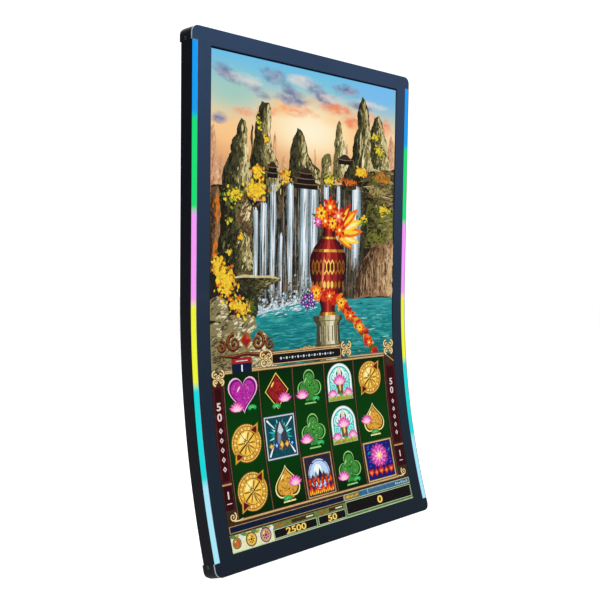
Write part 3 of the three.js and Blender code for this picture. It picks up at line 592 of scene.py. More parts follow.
def sky():
    """Evening sky: blue above, a cream and orange glow low in the middle, with drifts of cloud."""
    look = lit("sky")
    bed = look.ramp(look.height(height_of(HORIZON), height_of(ACTIVE_HIGH)), (0.0, rgb(196, 142, 104)),
                    (0.36, rgb(226, 166, 112)), (0.5, rgb(248, 204, 148)), (0.62, rgb(242, 214, 170)),
                    (0.74, rgb(190, 202, 188)), (0.87, rgb(132, 196, 214)), (1.0, rgb(108, 190, 230)))
    for place, colour, strength in SKY_TINTS:
        bed = look.mix(look.math("MULTIPLY", look.spot(*place), strength), bed, rgb(*colour))
    for number, (places, dark, light, strength) in enumerate(SKY_CLOUDS):
        cover = 0.0
        for place in places:
            cover = look.math("MAXIMUM", look.spot(*place), cover)
        billow = look.noise(19, 7, 0.6, 0.25, scale=(1, 1, 2.1), shift=(0.7 * number, 0, 0.3),
                            turn=(0, 0.3, 0))
        body = look.math("ADD", billow, look.math("MULTIPLY", cover, 0.42))
        body = look.fit(body, 0.62, 0.9, 0.0, strength)
        tone = look.ramp(look.noise(34, 5, 0.6, 0.2, scale=(1, 1, 2)), (0.4, rgb(*dark)), (0.62, rgb(*light)))
        bed = look.mix(look.math("MULTIPLY", body, look.fit(cover, 0.0, 0.35)), bed, tone)
    look.into("Emission Color", bed)
    return look.material


def water():
    """Teal lake, paler in the distance, with long flat ripples."""
    look = lit("water")
    bed = look.ramp(look.height(-0.38, -0.262), (0.0, rgb(12, 104, 108)), (0.6, rgb(18, 124, 128)),
                    (1.0, rgb(38, 140, 146)))
    ripple = look.noise(26, 6, 0.6, 0.5, scale=(1, 1, 6))
    look.into("Emission Color", look.mix(look.fit(ripple, 0.5, 0.7), bed, rgb(70, 172, 168)))
    return look.material


def reel_green():
    """Deep green reel band, darker towards its top and bottom as a round drum is."""
    look = lit("reel_green")
    tone = look.ramp(look.height(height_of(REEL_LOW), height_of(REEL_HIGH)), (0.0, rgb(0, 32, 2)),
                     (0.2, rgb(0, 50, 3)), (0.5, rgb(0, 62, 4)), (0.8, rgb(0, 52, 3)), (1.0, rgb(0, 34, 2)))
    weave = look.noise(90, 4, 0.6)
    look.into("Emission Color", look.mix(look.fit(weave, 0.35, 0.75, 0.0, 0.35), tone, rgb(0, 40, 2)))
    return look.material


REEL_LOW, REEL_HIGH = 90.0, 367.0
INK_LOOKS = {"sky": sky(), "water": water(), "reel_green": reel_green()}


def ink(name):
    """The picture material of that ink, made when it is first used."""
    if name not in INK_LOOKS:
        look = lit(name)
        *colour, amount = INKS[name]
        dark, light = spread(rgb(*colour), amount)
        look.into("Emission Color", look.ramp(look.noise(170, 5, 0.65, 0.3), (0.34, dark), (0.66, light)))
        INK_LOOKS[name] = look.material
    return INK_LOOKS[name]


# ---- Drawing on the screen ----

PICTURE_BACK = 1.6  # mm behind the glass's face, where the lowest sheet lies
LAYER = 0.02  # mm from one layer of the picture to the next
SHAPE_DEPTH = 0.7 * LAYER
FIGURE_SCALE = 1.37  # a font size for each mm of a figure's height
SCREEN_EDGE = 264.5
DAB = ((-0.5, 0), (-0.2, -0.5), (0.25, -0.42), (0.5, 0), (0.2, 0.5), (-0.25, 0.42))  # a dab of unit size
UPRIGHT = pi / 2


def prism(bm, outline, near, far, slot):
    """A thin closed prism of a convex outline."""
    front = [bm.verts.new((x, near, s)) for x, s in outline]
    back = [bm.verts.new((x, far, s)) for x, s in outline]
    faces = [bm.faces.new(front), bm.faces.new(back[::-1])]
    for i in range(len(outline)):
        j = (i + 1) % len(outline)
        faces.append(bm.faces.new((front[j], front[i], back[i], back[j])))
    for face in faces:
        face.material_index = slot


def area(outline):
    return sum(a[0] * b[1] - b[0] * a[1] for a, b in zip(outline, outline[1:] + outline[:1])) / 2


class Sheet:
    """Thin closed shapes in (x, s), each raised by up layers over the sheet's own order."""

    def __init__(self, order):
        self.order, self.bm, self.inks = order, bmesh.new(), []

    def slot(self, name):
        if name not in self.inks:
            self.inks.append(name)
        return self.inks.index(name)

    def depth(self, up):
        return PICTURE_BACK - LAYER * (self.order + up)

    def shape(self, outline, name, up=0.0, holes=()):
        loops = [outline if area(outline) > 0 else outline[::-1]]
        loops += [hole[::-1] if area(hole) > 0 else hole for hole in holes]
        near = self.depth(up)
        plate(self.bm, loops, near, near + SHAPE_DEPTH, slot=self.slot(name))

    def box(self, x_low, x_high, s_low, s_high, name, up=0.0, radius=0.0):
        corners = (x_low, x_high, s_low, s_high)
        self.shape(rounded(*corners, radius) if radius else square(*corners), name, up)

    def boxes(self, x_low, x_high, s_low, s_high, rows, radius=0.0):
        """Boxes laid on each other: for each row how far up, how far inside the first one, and its ink."""
        for up, inset, name in rows:
            self.box(x_low + inset, x_high - inset, s_low + inset, s_high - inset, name, up,
                     max(radius - inset, 0.0))

    def disc(self, x, s, radius, name, up=0.0, inner=0.0, steps=28):
        self.shape(circle(x, s, radius, steps), name, up, [circle(x, s, inner, steps)] if inner else ())

    def discs(self, x, s, rows, size=1.0, steps=28):
        """Discs laid on each other: for each row how far up, the radius and the ink."""
        for up, radius, name in rows:
            self.disc(x, s, size * radius, name, up, steps=steps)

    def diamond(self, x, s, half_x, half_s, name, up):
        self.shape([(x, s - half_s), (x + half_x, s), (x, s + half_s), (x - half_x, s)], name, up)

    def dab(self, x, s, length, width, angle, name, up=0.0):
        """A brush mark: a small pointed oval."""
        c, n = cos(angle), sin(angle)
        outline = [(x + a * length * c - b * width * n, s + a * length * n + b * width * c) for a, b in DAB]
        near = self.depth(up)
        prism(self.bm, outline, near, near + SHAPE_DEPTH, self.slot(name))

    def ribbon(self, points, widths, name, up=0.0):
        """A stroke along the points, as wide at each as its width says."""
        near, last = self.depth(up), None
        far, slot = near + SHAPE_DEPTH, self.slot(name)
        for index, (x, s) in enumerate(points):
            before, after = points[max(index - 1, 0)], points[min(index + 1, len(points) - 1)]
            along = Vector((after[0] - before[0], after[1] - before[1])).normalized()
            off = Vector((-along.y, along.x)) * widths[index] / 2
            ring = [self.bm.verts.new(corner) for corner in (
                (x + off.x, near, s + off.y), (x - off.x, near, s - off.y),
                (x - off.x, far, s - off.y), (x + off.x, far, s + off.y))]
            if last:
                for i in range(4):
                    j = (i + 1) % 4
                    self.bm.faces.new((last[i], last[j], ring[j], ring[i])).material_index = slot
            else:
                self.bm.faces.new(ring[::-1]).material_index = slot
            last = ring
        self.bm.faces.new(last).material_index = slot

    def line(self, x_start, s_start, x_end, s_end, width, name, up=0.0):
        """A straight stroke of one width."""
        self.ribbon([(x_start, s_start), (x_end, s_end)], [width, width], name, up)

    def curl(self, x, s, size, start, turns, width, name, up=0.0):
        """A scroll that winds in from the given angle to its eye; turns may be negative."""
        steps = 22
        points, widths = [], []
        for k in range(steps + 1):
            t = k / steps
            points.append(polar(x, s, size * (1 - 0.82 * t), start + tau * turns * t))
            widths.append(width * (1 - 0.5 * t))
        self.ribbon(points, widths, name, up)
        self.disc(*points[-1], width * 0.55, name, up + 0.2, steps=12)

    def digits(self, text, x, s, height, name, up, wide, bold):
        """Plain figures, centred on (x, s)."""
        letters = bpy.data.curves.new("figures", "FONT")
        letters.body, letters.size = text, height * FIGURE_SCALE
        letters.offset = bold * height
        letters.align_x = "CENTER"
        letters.extrude = SHAPE_DEPTH / 2
        letters.resolution_u = 3
        holder = bpy.data.objects.new("figures", letters)
        first_vert, first_face = len(self.bm.verts), len(self.bm.faces)
        self.bm.from_mesh(holder.to_mesh())
        self.bm.verts.ensure_lookup_table()
        self.bm.faces.ensure_lookup_table()
        middle = self.depth(up) + SHAPE_DEPTH / 2
        for vert in self.bm.verts[first_vert:]:
            vert.co = Vector((x + vert.co.x * wide, middle - vert.co.z, s - height / 2 + vert.co.y))
        for face in self.bm.faces[first_face:]:
            face.material_index = self.slot(name)
        holder.to_mesh_clear()
        bpy.data.objects.remove(holder)
        bpy.data.curves.remove(letters)


def paint(name, order, draw, *more):
    """Makes one piece of the picture: a sheet that the drawing function fills."""
    sheet = Sheet(order)
    draw(sheet, *more)
    bend(sheet.bm)
    finish_mesh("screen_" + name, sheet.bm, [ink(name) for name in sheet.inks])


# ---- Painting with many brush marks ----


def rough(line, amount, rng, rounds=3):
    """A broken line: each stretch bent at its middle, again and again, but straight at the screen's edge."""
    for _ in range(rounds):
        bent = [line[0]]
        for (x0, s0), (x1, s1) in zip(line, line[1:]):
            push = rng.uniform(-amount, amount) if min(abs(x0), abs(x1)) < SCREEN_EDGE - 2 else 0.0
            bent += [((x0 + x1) / 2 + (s1 - s0) * push, (s0 + s1) / 2 - (x1 - x0) * push), (x1, s1)]
        line = bent
    return line


def crossings(s, outline):
    """Where a level line meets the outline, from left to right."""
    found = []
    for (x0, s0), (x1, s1) in zip(outline, outline[1:] + outline[:1]):
        if (s0 > s) != (s1 > s):
            found.append(x0 + (s - s0) * (x1 - x0) / (s1 - s0))
    return sorted(found)


def inside(x, s, outline):
    return sum(1 for value in crossings(s, outline) if value < x) % 2 == 1


def mass(sheet, rng, line, inks, up, spacing, size, slant=90, jag=0.09, rounds=3, light=0.0):
    """Painted rock: an outline filled with brush marks, its inks running from its left to its right.

    There is a mark for each spacing in square mm, about size mm long and slanted by that many degrees.
    """
    inks = inks.split()
    outline = rough(line + line[:1], jag, rng, rounds)[:-1]
    outline = [(max(min(x, SCREEN_EDGE), -SCREEN_EDGE), s) for x, s in outline]
    sheet.shape(outline, inks[len(inks) // 3], up)
    xs, ss = [x for x, _ in outline], [s for _, s in outline]
    for _ in range(int(abs(area(outline)) / spacing)):
        x, s = rng.uniform(min(xs), max(xs)), rng.uniform(min(ss), max(ss))
        length = size * rng.uniform(0.6, 1.5)
        angle = radians(slant + rng.gauss(0, 12))
        ends = [polar(x, s, side * length / 2, angle) for side in (-1, 1)]
        pick, width, lift = rng.gauss(0, 0.17), length * rng.uniform(0.18, 0.4), rng.uniform(0.5, 3.0)
        if not (inside(x, s, outline) and all(inside(*end, outline) for end in ends)):
            continue
        hits = crossings(s, outline)
        left = max(value for value in hits if value < x)
        right = min(value for value in hits if value >= x)
        tone = (x - left) / max(right - left, 1.0) + pick + light
        index = min(max(int(tone * len(inks)), 0), len(inks) - 1)
        sheet.dab(x, s, length, width, angle, inks[index], up + lift)


def bush(sheet, rng, x_low, x_high, s_low, s_high, inks, count, size, tilt=0.0):
    """Leaves, thick in the middle, dark ones first and bright ones on top."""
    inks = inks.split()
    half_x, half_s = (x_high - x_low) / 2, (s_high - s_low) / 2
    for index in range(count):
        u, v = rng.gauss(0, 0.36), rng.gauss(0, 0.36)
        x = (x_low + x_high) / 2 + max(min(u, 1), -1) * half_x
        s = (s_low + s_high) / 2 + max(min(v, 1), -1) * half_s + tilt * u * half_x
        rank = index / count
        tone = min(int((rank + rng.gauss(0, 0.12)) * len(inks)), len(inks) - 1)
        length = size * rng.uniform(0.6, 1.4)
        angle = rng.uniform(0, pi)
        if abs(x) < ACTIVE_HALF - length / 2:
            sheet.dab(x, s, length, length * rng.uniform(0.45, 0.75), angle, inks[max(tone, 0)], 4 * rank)


# ---- The upper picture: evening sky, rock towers, waterfall and lake ----

COOL_ROCK = "rock_deep rock_dark rock_dark rock_mid rock_warm rock_light"
WARM_ROCK = "rock_dark rock_mid rock_mid rock_warm rock_light rock_pale"
AUTUMN = "leaf_deep leaf_olive leaf_orange leaf_gold leaf_yellow leaf_yellow"
GREEN = "leaf_deep leaf_deep leaf_green leaf_olive leaf_lime leaf_yellow"


def far_towers(far, rng):
    for line in (
        [(-265, 700), (-265, 832), (-258, 838), (-253, 800), (-246, 760), (-240, 700)],
        [(-250, 725), (-246, 776), (-240, 786), (-234, 770), (-228, 725)],
        [(-112, 760), (-109, 826), (-105, 842), (-101, 812), (-98, 760)],
        [(-92, 740), (-86, 786), (-80, 796), (-74, 772), (-66, 740)],
        [(2, 760), (5, 812), (8, 818), (12, 780), (16, 760)],
        [(96, 780), (101, 830), (106, 838), (111, 806), (116, 780)],
        [(240, 770), (246, 862), (252, 872), (258, 858), (265, 850), (265, 770)],
    ):
        mass(far, rng, line, "haze_dark haze haze_light", 0, 22, 9, jag=0.06)


def rock_towers(towers, rng):
    for line, *brush in (
        ([(-170, 760), (-168, 830), (-165, 848), (-161, 842), (-160, 760)], COOL_ROCK, 0, 14, 9),
        ([(-241, 690), (-238, 737), (-231, 764), (-218, 785), (-215, 812), (-204, 824), (-201, 841),
          (-191, 857), (-181, 851), (-177, 823), (-174, 785), (-169, 754), (-160, 690)],
         COOL_ROCK, 4, 11, 12),
        ([(-168, 700), (-165, 771), (-162, 806), (-158, 841), (-151, 872), (-141, 896), (-121, 894),
          (-117, 875), (-118, 841), (-113, 806), (-99, 785), (-92, 764), (-88, 715)],
         COOL_ROCK, 8, 11, 12),
        ([(-70, 725), (-66, 771), (-64, 799), (-57, 830), (-44, 855), (-30, 848), (-21, 830),
          (-14, 806), (2, 785), (22, 775), (30, 725)], COOL_ROCK, 4, 11, 11),
        ([(60, 760), (63, 799), (64, 834), (69, 851), (71, 872), (78, 885), (85, 879), (88, 861),
          (97, 834), (104, 809), (108, 760)], WARM_ROCK, 4, 11, 10),
        ([(24, 745), (27, 798), (36, 808), (52, 811), (57, 796), (60, 745)], WARM_ROCK, 8, 12, 8, 60),
        ([(168, 740), (176, 862), (192, 903), (208, 910), (220, 896), (230, 865), (241, 827),
          (250, 795), (256, 740)], COOL_ROCK, 4, 12, 12, 90, 0.09, 3, 0.05),
        ([(78, 735), (95, 764), (112, 792), (123, 816), (126, 848), (140, 875), (137, 910), (144, 931),
          (152, 946), (164, 931), (175, 906), (178, 860), (190, 800), (200, 735)],
         COOL_ROCK, 9, 11, 14),
    ):
        mass(towers, rng, line, *brush)
    for x, s, length, lean in (
        (-178, 800, 60, 88), (-121, 850, 56, 92), (-24, 800, 44, 62), (96, 830, 40, 78),
        (150, 840, 66, 86), (158, 800, 60, 80), (222, 850, 44, 72),
    ):
        for k in range(6):
            towers.dab(x + rng.uniform(-3, 3), s + rng.uniform(-16, 16), length * rng.uniform(0.3, 0.6),
                       rng.uniform(2, 4), radians(lean), rng.choice(["rock_pale", "rock_light"]),
                       13 + k / 5)


def cliffs(sheet, rng):
    """The right bank, its ledges and streaks, then the left bank."""
    mass(sheet, rng, [(157, 610), (158, 700), (156, 748), (120, 753), (118, 762), (140, 776), (190, 784),
                      (230, 790), (265, 796), (265, 610)],
         "rock_deep cliff_dark rock_dark leaf_olive cliff rock_mid rock_warm", 6, 12, 15, 8, rounds=2,
         light=-0.1)
    mass(sheet, rng, [(166, 612), (168, 690), (186, 702), (216, 708), (265, 702), (265, 612)],
         "leaf_deep rock_dark leaf_olive rock_mid moss rock_warm", 10, 16, 12, 8, rounds=2, light=-0.05)
    mass(sheet, rng, [(136, 497), (143, 548), (156, 574), (171, 594), (190, 616), (206, 628), (236, 622),
                      (265, 634), (265, 497)],
         "cliff_deep cliff_dark cliff cliff cliff_light cliff_pale", 14, 11, 13, 84, light=-0.06)
    for x, s, reach in ((196, 786, 60), (232, 764, 60), (184, 748, 50), (224, 728, 66), (200, 706, 60)):
        for k, name in enumerate(("rock_light", "rock_warm", "leaf_deep")):
            ledge = [(x - reach / 2, s + rng.uniform(-3, 3) - 3 * k), (x, s + 3 - 3 * k),
                     (x + reach / 2, s - 1 - 3 * k)]
            sheet.ribbon(ledge, [0.6, 2.6 - 0.6 * k, 0.6], name, 16.4 - 0.3 * k)
    for _ in range(26):
        x = rng.uniform(150, 262)
        top = 560 + 0.55 * (x - 150) - rng.uniform(0, 20)
        sheet.dab(x, top - 24, rng.uniform(30, 60), rng.uniform(1.2, 2.6), radians(90 + rng.gauss(0, 7)),
                  rng.choice(["cliff_deep", "cliff_deep", "cliff_pale"]), 17.2)
    mass(sheet, rng, [(-265, 548), (-265, 722), (-240, 726), (-206, 718), (-178, 712), (-160, 700),
                      (-158, 640), (-160, 548)],
         "rock_deep rock_deep rock_dark rock_mid cliff_dark", 10, 13, 13, 75, light=-0.05)
    mass(sheet, rng, [(-214, 560), (-216, 610), (-206, 640), (-190, 650), (-172, 636), (-162, 600),
                      (-160, 560)],
         "rock_deep rock_dark rock_mid rock_warm rock_light", 14, 10, 9, 70)
    mass(sheet, rng, [(-204, 656), (-204, 690), (-192, 706), (-174, 704), (-164, 690), (-168, 660)],
         "rock_mid cliff_dark cliff rock_light rock_pale", 15, 10, 9, 60)
    mass(sheet, rng, [(-265, 560), (-265, 640), (-265, 720), (-246, 724), (-242, 660), (-250, 560)],
         "cliff_deep cliff_dark leaf_orange cliff", 14, 12, 16, 84)


# The falls as (left, right, foot, lip, strokes).
FALLS = (
    (-117, -101, 500, 742, 26), (-70, -51, 505, 742, 22), (-34, -8, 500, 744, 34), (-6, 17, 498, 745, 34),
    (35, 52, 520, 746, 18), (75, 86, 560, 747, 12), (121, 150, 560, 751, 40), (-160, -146, 505, 688, 16),
    (-140, -124, 500, 700, 18), (-92, -78, 500, 640, 8),
)
STREAMS = ("stream_shade", "stream_blue", "stream", "stream_white")


def waterfall(fall, rng):
    mass(fall, rng, [(-164, 490), (-166, 680), (-150, 694), (-124, 706), (-118, 744), (-60, 742), (0, 746),
                     (70, 747), (120, 752), (156, 746), (158, 490)],
         "wet_deep wet_dark wet_brown wet_deep wet_dark wet_deep wet_brown wet_dark", 0, 16, 22, 90, 0.03, 2)
    fall.ribbon([(-120, 745), (-60, 743), (0, 747), (70, 748), (124, 753)], [4, 3, 5, 3, 4], "rock_light", 4)
    for x_low, x_high, s_low, s_high, strokes in FALLS:
        for _ in range(strokes):
            x = rng.uniform(x_low, x_high)
            middle = 1 - abs(2 * (x - x_low) / (x_high - x_low) - 1)
            top = s_high - rng.uniform(0, 8)
            length = (top - s_low) * rng.uniform(0.35, 0.98)
            low = top - length if rng.random() < 0.6 else s_low + rng.uniform(0, 30)
            tone = min(3, max(0, int(middle * 4 + rng.gauss(0, 0.7))))
            fall.ribbon([(x, low), (x + rng.uniform(-1, 1), (low + top) / 2), (x, top)],
                        [0.6, rng.uniform(1.6, 3.4), rng.uniform(1.2, 2.4)], STREAMS[tone],
                        5 + rng.uniform(0, 3))
    trickles(fall, rng)
    mist(fall, rng)


def trickles(fall, rng):
    inks = ["veil", "wet_grey", "stream_shade", "wet_deep", "wet_dark"]
    for _ in range(260):
        x, top = rng.uniform(-164, 152), rng.uniform(560, 744)
        reach = rng.uniform(30, 110)
        if x > -122 or top < 694:
            fall.ribbon([(x, top - reach), (x + rng.uniform(-0.6, 0.6), top - reach / 2), (x, top)],
                        [0.3, rng.uniform(0.8, 2.2), 0.3], rng.choice(inks), 8.1)


def mist(fall, rng):
    """Spray above the lake, whitest at its foot."""
    foot, highest = 490, 74
    for _ in range(760):
        x, rise = rng.uniform(-164, 30), rng.expovariate(1 / 15)
        white = rng.random() < 1 - rise / 42
        name = rng.choice(["mist", "mist", "stream", "stream_blue"] if white else
                          ["veil", "wet_grey", "stream_shade"])
        size = rng.uniform(4, 9)
        if rise < highest:
            fall.dab(x, foot + 0.17 * min(x + 20, 0) + rise, size, size * rng.uniform(0.5, 0.8),
                     rng.gauss(0.4, 0.5), name, 8.5 + 2 * (1 - rise / highest) + rng.uniform(0, 0.4))


def lake(sheet, rng):
    shore = [(-264.5, 366), (264.5, 366), (264.5, 499), (150, 500), (60, 500), (-20, 497), (-90, 486),
             (-150, 474), (-264.5, 440), (-264.5, 366)]
    sheet.shape(rough(shore, 0.012, rng, 2)[:-1], "water")
    for _ in range(420):
        x, s = rng.uniform(-150, 250), rng.uniform(370, 496)
        length = rng.uniform(8, 30)
        inks = ["lake_deep", "lake_deep", "lake_light", "lake_green", "lake_light"]
        name = rng.choice(inks + ["lake_glint"] if x > 120 else inks)
        if x + length / 2 < ACTIVE_HALF and s < 492 + min(0, (x + 20) * 0.16):
            sheet.dab(x, s, length, length * rng.uniform(0.05, 0.1), rng.gauss(0, 0.03), name,
                      0.5 + rng.uniform(0, 2))
    for _ in range(110):
        x = rng.uniform(-150, 20)
        sheet.dab(x, 488 + 0.1 * (x + 20) + rng.gauss(0, 4.5), rng.uniform(6, 18), rng.uniform(0.8, 2.2),
                  0.08, rng.choice(["mist", "stream", "stream_blue", "lake_light"]), 3 + rng.uniform(0, 1))


def near_rocks(near, rng):
    mass(near, rng, [(-208, 540), (-206, 550), (-180, 553), (-150, 551), (-112, 552), (-84, 546),
                     (-100, 538), (-122, 530), (-140, 512), (-160, 508), (-184, 524)],
         "rock_deep rock_dark rock_mid rock_warm", 0, 9, 9, 8, 0.05, light=-0.15)
    near.ribbon([(-206, 550), (-180, 553), (-150, 551), (-112, 551), (-86, 546)], [3, 6, 4, 5, 1],
                "rock_light", 4)
    mass(near, rng, [(-176, 470), (-172, 530), (-150, 516), (-144, 486), (-150, 470)],
         "rock_deep leaf_deep rock_dark", 0.5, 10, 9, 70)
    for line in (
        [(-265, 366), (-265, 440), (-230, 446), (-190, 440), (-160, 426), (-120, 414), (-100, 396),
         (-90, 366)],
        [(-265, 470), (-265, 508), (-246, 516), (-226, 506), (-218, 482), (-230, 466)],
        [(-244, 446), (-238, 468), (-214, 478), (-186, 470), (-172, 448), (-196, 436)],
        [(-196, 438), (-190, 464), (-172, 478), (-154, 472), (-148, 452), (-168, 436)],
        [(-265, 432), (-265, 462), (-248, 466), (-232, 456), (-236, 436)],
        [(-158, 420), (-152, 440), (-136, 446), (-122, 434), (-124, 416)],
    ):
        mass(near, rng, line, "stone_dark stone stone stone_light stone_pale", 5 + rng.uniform(0, 2), 12, 9,
             15, 0.05, 2)


def foliage(bushes, rng):
    for place in (
        (-186, -122, 696, 748, AUTUMN, 250, 8), (-166, -132, 736, 776, AUTUMN, 120, 7),
        (-242, -176, 684, 730, GREEN, 210, 7), (-138, -114, 810, 834, AUTUMN, 46, 6),
        (-158, -138, 830, 872, GREEN, 60, 5), (-92, -60, 738, 772, AUTUMN, 90, 6),
        (24, 78, 738, 776, GREEN, 130, 6), (126, 176, 764, 794, AUTUMN, 90, 7),
        (70, 150, 744, 768, "leaf_deep leaf_red leaf_red leaf_orange", 120, 6),
        (172, 224, 852, 870, GREEN, 90, 6), (188, 234, 814, 850, GREEN, 130, 6),
        (196, 252, 760, 782, "cliff_deep leaf_red leaf_orange leaf_orange", 90, 8),
        (198, 260, 684, 714, GREEN, 150, 7), (136, 178, 656, 690, GREEN, 70, 7),
        (-232, -206, 650, 668, GREEN, 36, 7), (-200, -180, 620, 638, AUTUMN, 30, 6),
        (-228, -210, 590, 608, GREEN, 26, 6), (-264, -196, 500, 592, AUTUMN, 330, 8, -0.55),
        (-230, -160, 472, 516, AUTUMN, 170, 8, -0.3), (-264, -240, 560, 604, AUTUMN, 60, 8),
        (-176, -150, 470, 512, "leaf_deep leaf_green leaf_olive", 50, 7),
        (160, 250, 618, 656, "leaf_deep leaf_deep leaf_olive moss", 170, 8),
        (162, 250, 726, 752, "leaf_deep cliff_dark leaf_olive rock_warm", 150, 8),
        (176, 262, 760, 786, "leaf_deep cliff_dark leaf_orange moss", 120, 8),
        (166, 200, 690, 722, "leaf_deep leaf_deep rock_dark leaf_olive", 110, 8),
    ):
        bush(bushes, rng, *place)


def pavilions(roofs):
    for x, s, width, tiers in ((-111, 758, 40, 2), (-17, 742, 92, 3), (98, 802, 52, 1)):
        for tier in range(tiers):
            roof(roofs, x, s + tier * 11, width / 2 * (1 - 0.24 * tier), tier)


def roof(sheet, x, low, half, tier):
    """One tier of a pavilion, with upturned eaves."""
    def across(*places):
        return [(x + half * part, low + rise) for part, rise in places]

    sheet.box(x - half * 0.72, x + half * 0.72, low - 10, low + 2, "roof_deep", tier)
    sheet.shape(across((-1, 0), (-0.6, 5), (-0.3, 10), (0, 12), (0.3, 10), (0.6, 5), (1, 0), (0.7, -1),
                       (-0.7, -1)), "roof", tier + 0.3)
    sheet.ribbon([(x - half - 2, low + 2), *across((-0.6, 0), (0, -1), (0.6, 0)), (x + half + 2, low + 2)],
                 [0.8, 1.6, 1.6, 1.6, 0.8], "roof_light", tier + 0.7)
    for k in range(-3, 4):
        sheet.ribbon([(x + k * half * 0.2, low + 1), (x + k * half * 0.1, low + 9)], [0.8, 0.5], "roof_deep",
                     tier + 0.8)


picture_rng = random.Random(7)
paint("matrix", -1, Sheet.boxes, *MATRIX, [(0, 0.1, "matrix")])
paint("sky", 0, Sheet.box, -ACTIVE_HALF, ACTIVE_HALF, HORIZON, ACTIVE_HIGH, "sky")
paint("base", 0, Sheet.box, -ACTIVE_HALF, ACTIVE_HALF, ACTIVE_LOW, HORIZON, "wet_deep")
paint("far_towers", 1, far_towers, picture_rng)
paint("rock_towers", 6, rock_towers, picture_rng)
paint("cliffs", 12, cliffs, picture_rng)
paint("waterfall", 8, waterfall, picture_rng)
paint("lake", 20, lake, picture_rng)
paint("near_rocks", 25, near_rocks, picture_rng)
paint("foliage", 33, foliage, picture_rng)
paint("pavilions", 29, pavilions)

# ---- In the lake: a lacquered vase of flowers on a stone plinth ----

VASE_X = 52
# Bands of tone round a turned body, as how far from its axis they begin and end, from -1 to 1.
LACQUER = ((-1, -0.72, "red_deep"), (-0.72, -0.4, "red_dark"), (-0.4, -0.12, "red"),
           (-0.12, 0.1, "red_light"), (0.1, 0.5, "red"), (0.5, 0.8, "red_dark"), (0.8, 1, "red_deep"))
STONE = ((-1, -0.6, "stone_dark"), (-0.6, -0.2, "stone"), (-0.2, 0.15, "stone_light"),
         (0.15, 0.5, "stone_pale"), (0.5, 0.8, "stone"), (0.8, 1, "stone_dark"))
GILT = ((-1, -0.6, "gold_deep"), (-0.6, -0.3, "gold_dark"), (-0.3, 0.0, "gold_light"), (0.0, 0.5, "gold"),
        (0.5, 1, "gold_dark"))
# Half widths up the plinth and the vase, as (s, half width).
PLINTH = ((366, 46), (402, 46), (404, 40), (408, 37), (446, 34), (452, 38), (456, 44), (466, 44))
VASE = ((466, 27), (472, 26), (478, 20), (490, 23), (506, 34), (526, 45), (548, 53), (572, 57), (594, 54),
        (612, 44), (624, 30), (634, 20), (642, 17), (652, 17), (660, 22), (667, 29), (671, 30))
# Inks of a flower: its outer petals, inner petals and eye.
SCARLET = ("petal_red", "petal_orange", "gold_pale")
AMBER = ("petal_orange", "petal_yellow", "red")
FLAME = ("petal_red", "red_glow", "gold_pale")
ROSE = ("pink_deep", "pink", "gold_pale")
PLUM = ("violet_dark", "plum", "pink_light")


def turned(sheet, profile, bands, up):
    """The vase or its plinth seen from the side, split into upright bands of tone."""
    for start, end, name in bands:
        left = [(VASE_X + half * start, s) for s, half in profile]
        right = [(VASE_X + half * end, s) for s, half in reversed(profile)]
        sheet.shape(left + right, name, up)


def vase_width(height):
    """The vase's half width at a height."""
    for (s0, half0), (s1, half1) in zip(VASE, VASE[1:]):
        if s0 <= height <= s1:
            return half0 + (half1 - half0) * (height - s0) / (s1 - s0)


def flower(sheet, x, s, size, inks, up, petals, start):
    """Pointed petals round an eye, two rows deep."""
    for row, (scale, name) in enumerate(((1.0, inks[0]), (0.72, inks[1]))):
        for k in range(petals):
            angle = start + tau * (k + 0.5 * row) / petals
            sheet.dab(*polar(x, s, size * scale * 0.55, angle), size * scale, size * scale * 0.42, angle,
                      name, up + row + k * 0.1)
    sheet.disc(x, s, size * 0.2, inks[2], up + 2.2, steps=12)


def vase(sheet):
    x = VASE_X
    turned(sheet, PLINTH, STONE, 0)
    for s in (403, 455):
        sheet.line(x - 40, s, x + 40, s, 1.4, "stone_dark", 1)
    for flute in (x + 13 * k for k in range(-2, 3)):
        sheet.line(flute, 411, flute, 444, 3, "stone_dark", 1)
        sheet.line(flute + 1.6, 411, flute + 1.6, 444, 1, "stone_pale", 1.3)
    turned(sheet, VASE, LACQUER, 2)
    for low, high in ((466, 473), (506, 511), (602, 608), (630, 635), (666, 671)):
        turned(sheet, [(low, vase_width(low)), (high, vase_width(high))], GILT, 3)
    for index in range(9):
        t = -0.84 + 0.21 * index  # where round the belly this ornament is, from -1 to 1
        place = x + vase_width(556) * t
        squeeze = sqrt(1 - t * t)
        name = "gold_light" if -0.4 < t < 0.3 else "gold_dark"
        sheet.dab(place, 570, 34, 15 * squeeze, UPRIGHT, name, 3.5)
        sheet.dab(place, 570, 24, 9 * squeeze, UPRIGHT, "red_dark", 4)
        sheet.dab(place, 532, 18, 9 * squeeze, UPRIGHT, name, 3.5)
    sheet.dab(x - 16, 560, 74, 6, UPRIGHT - 0.08, "red_glow", 5)


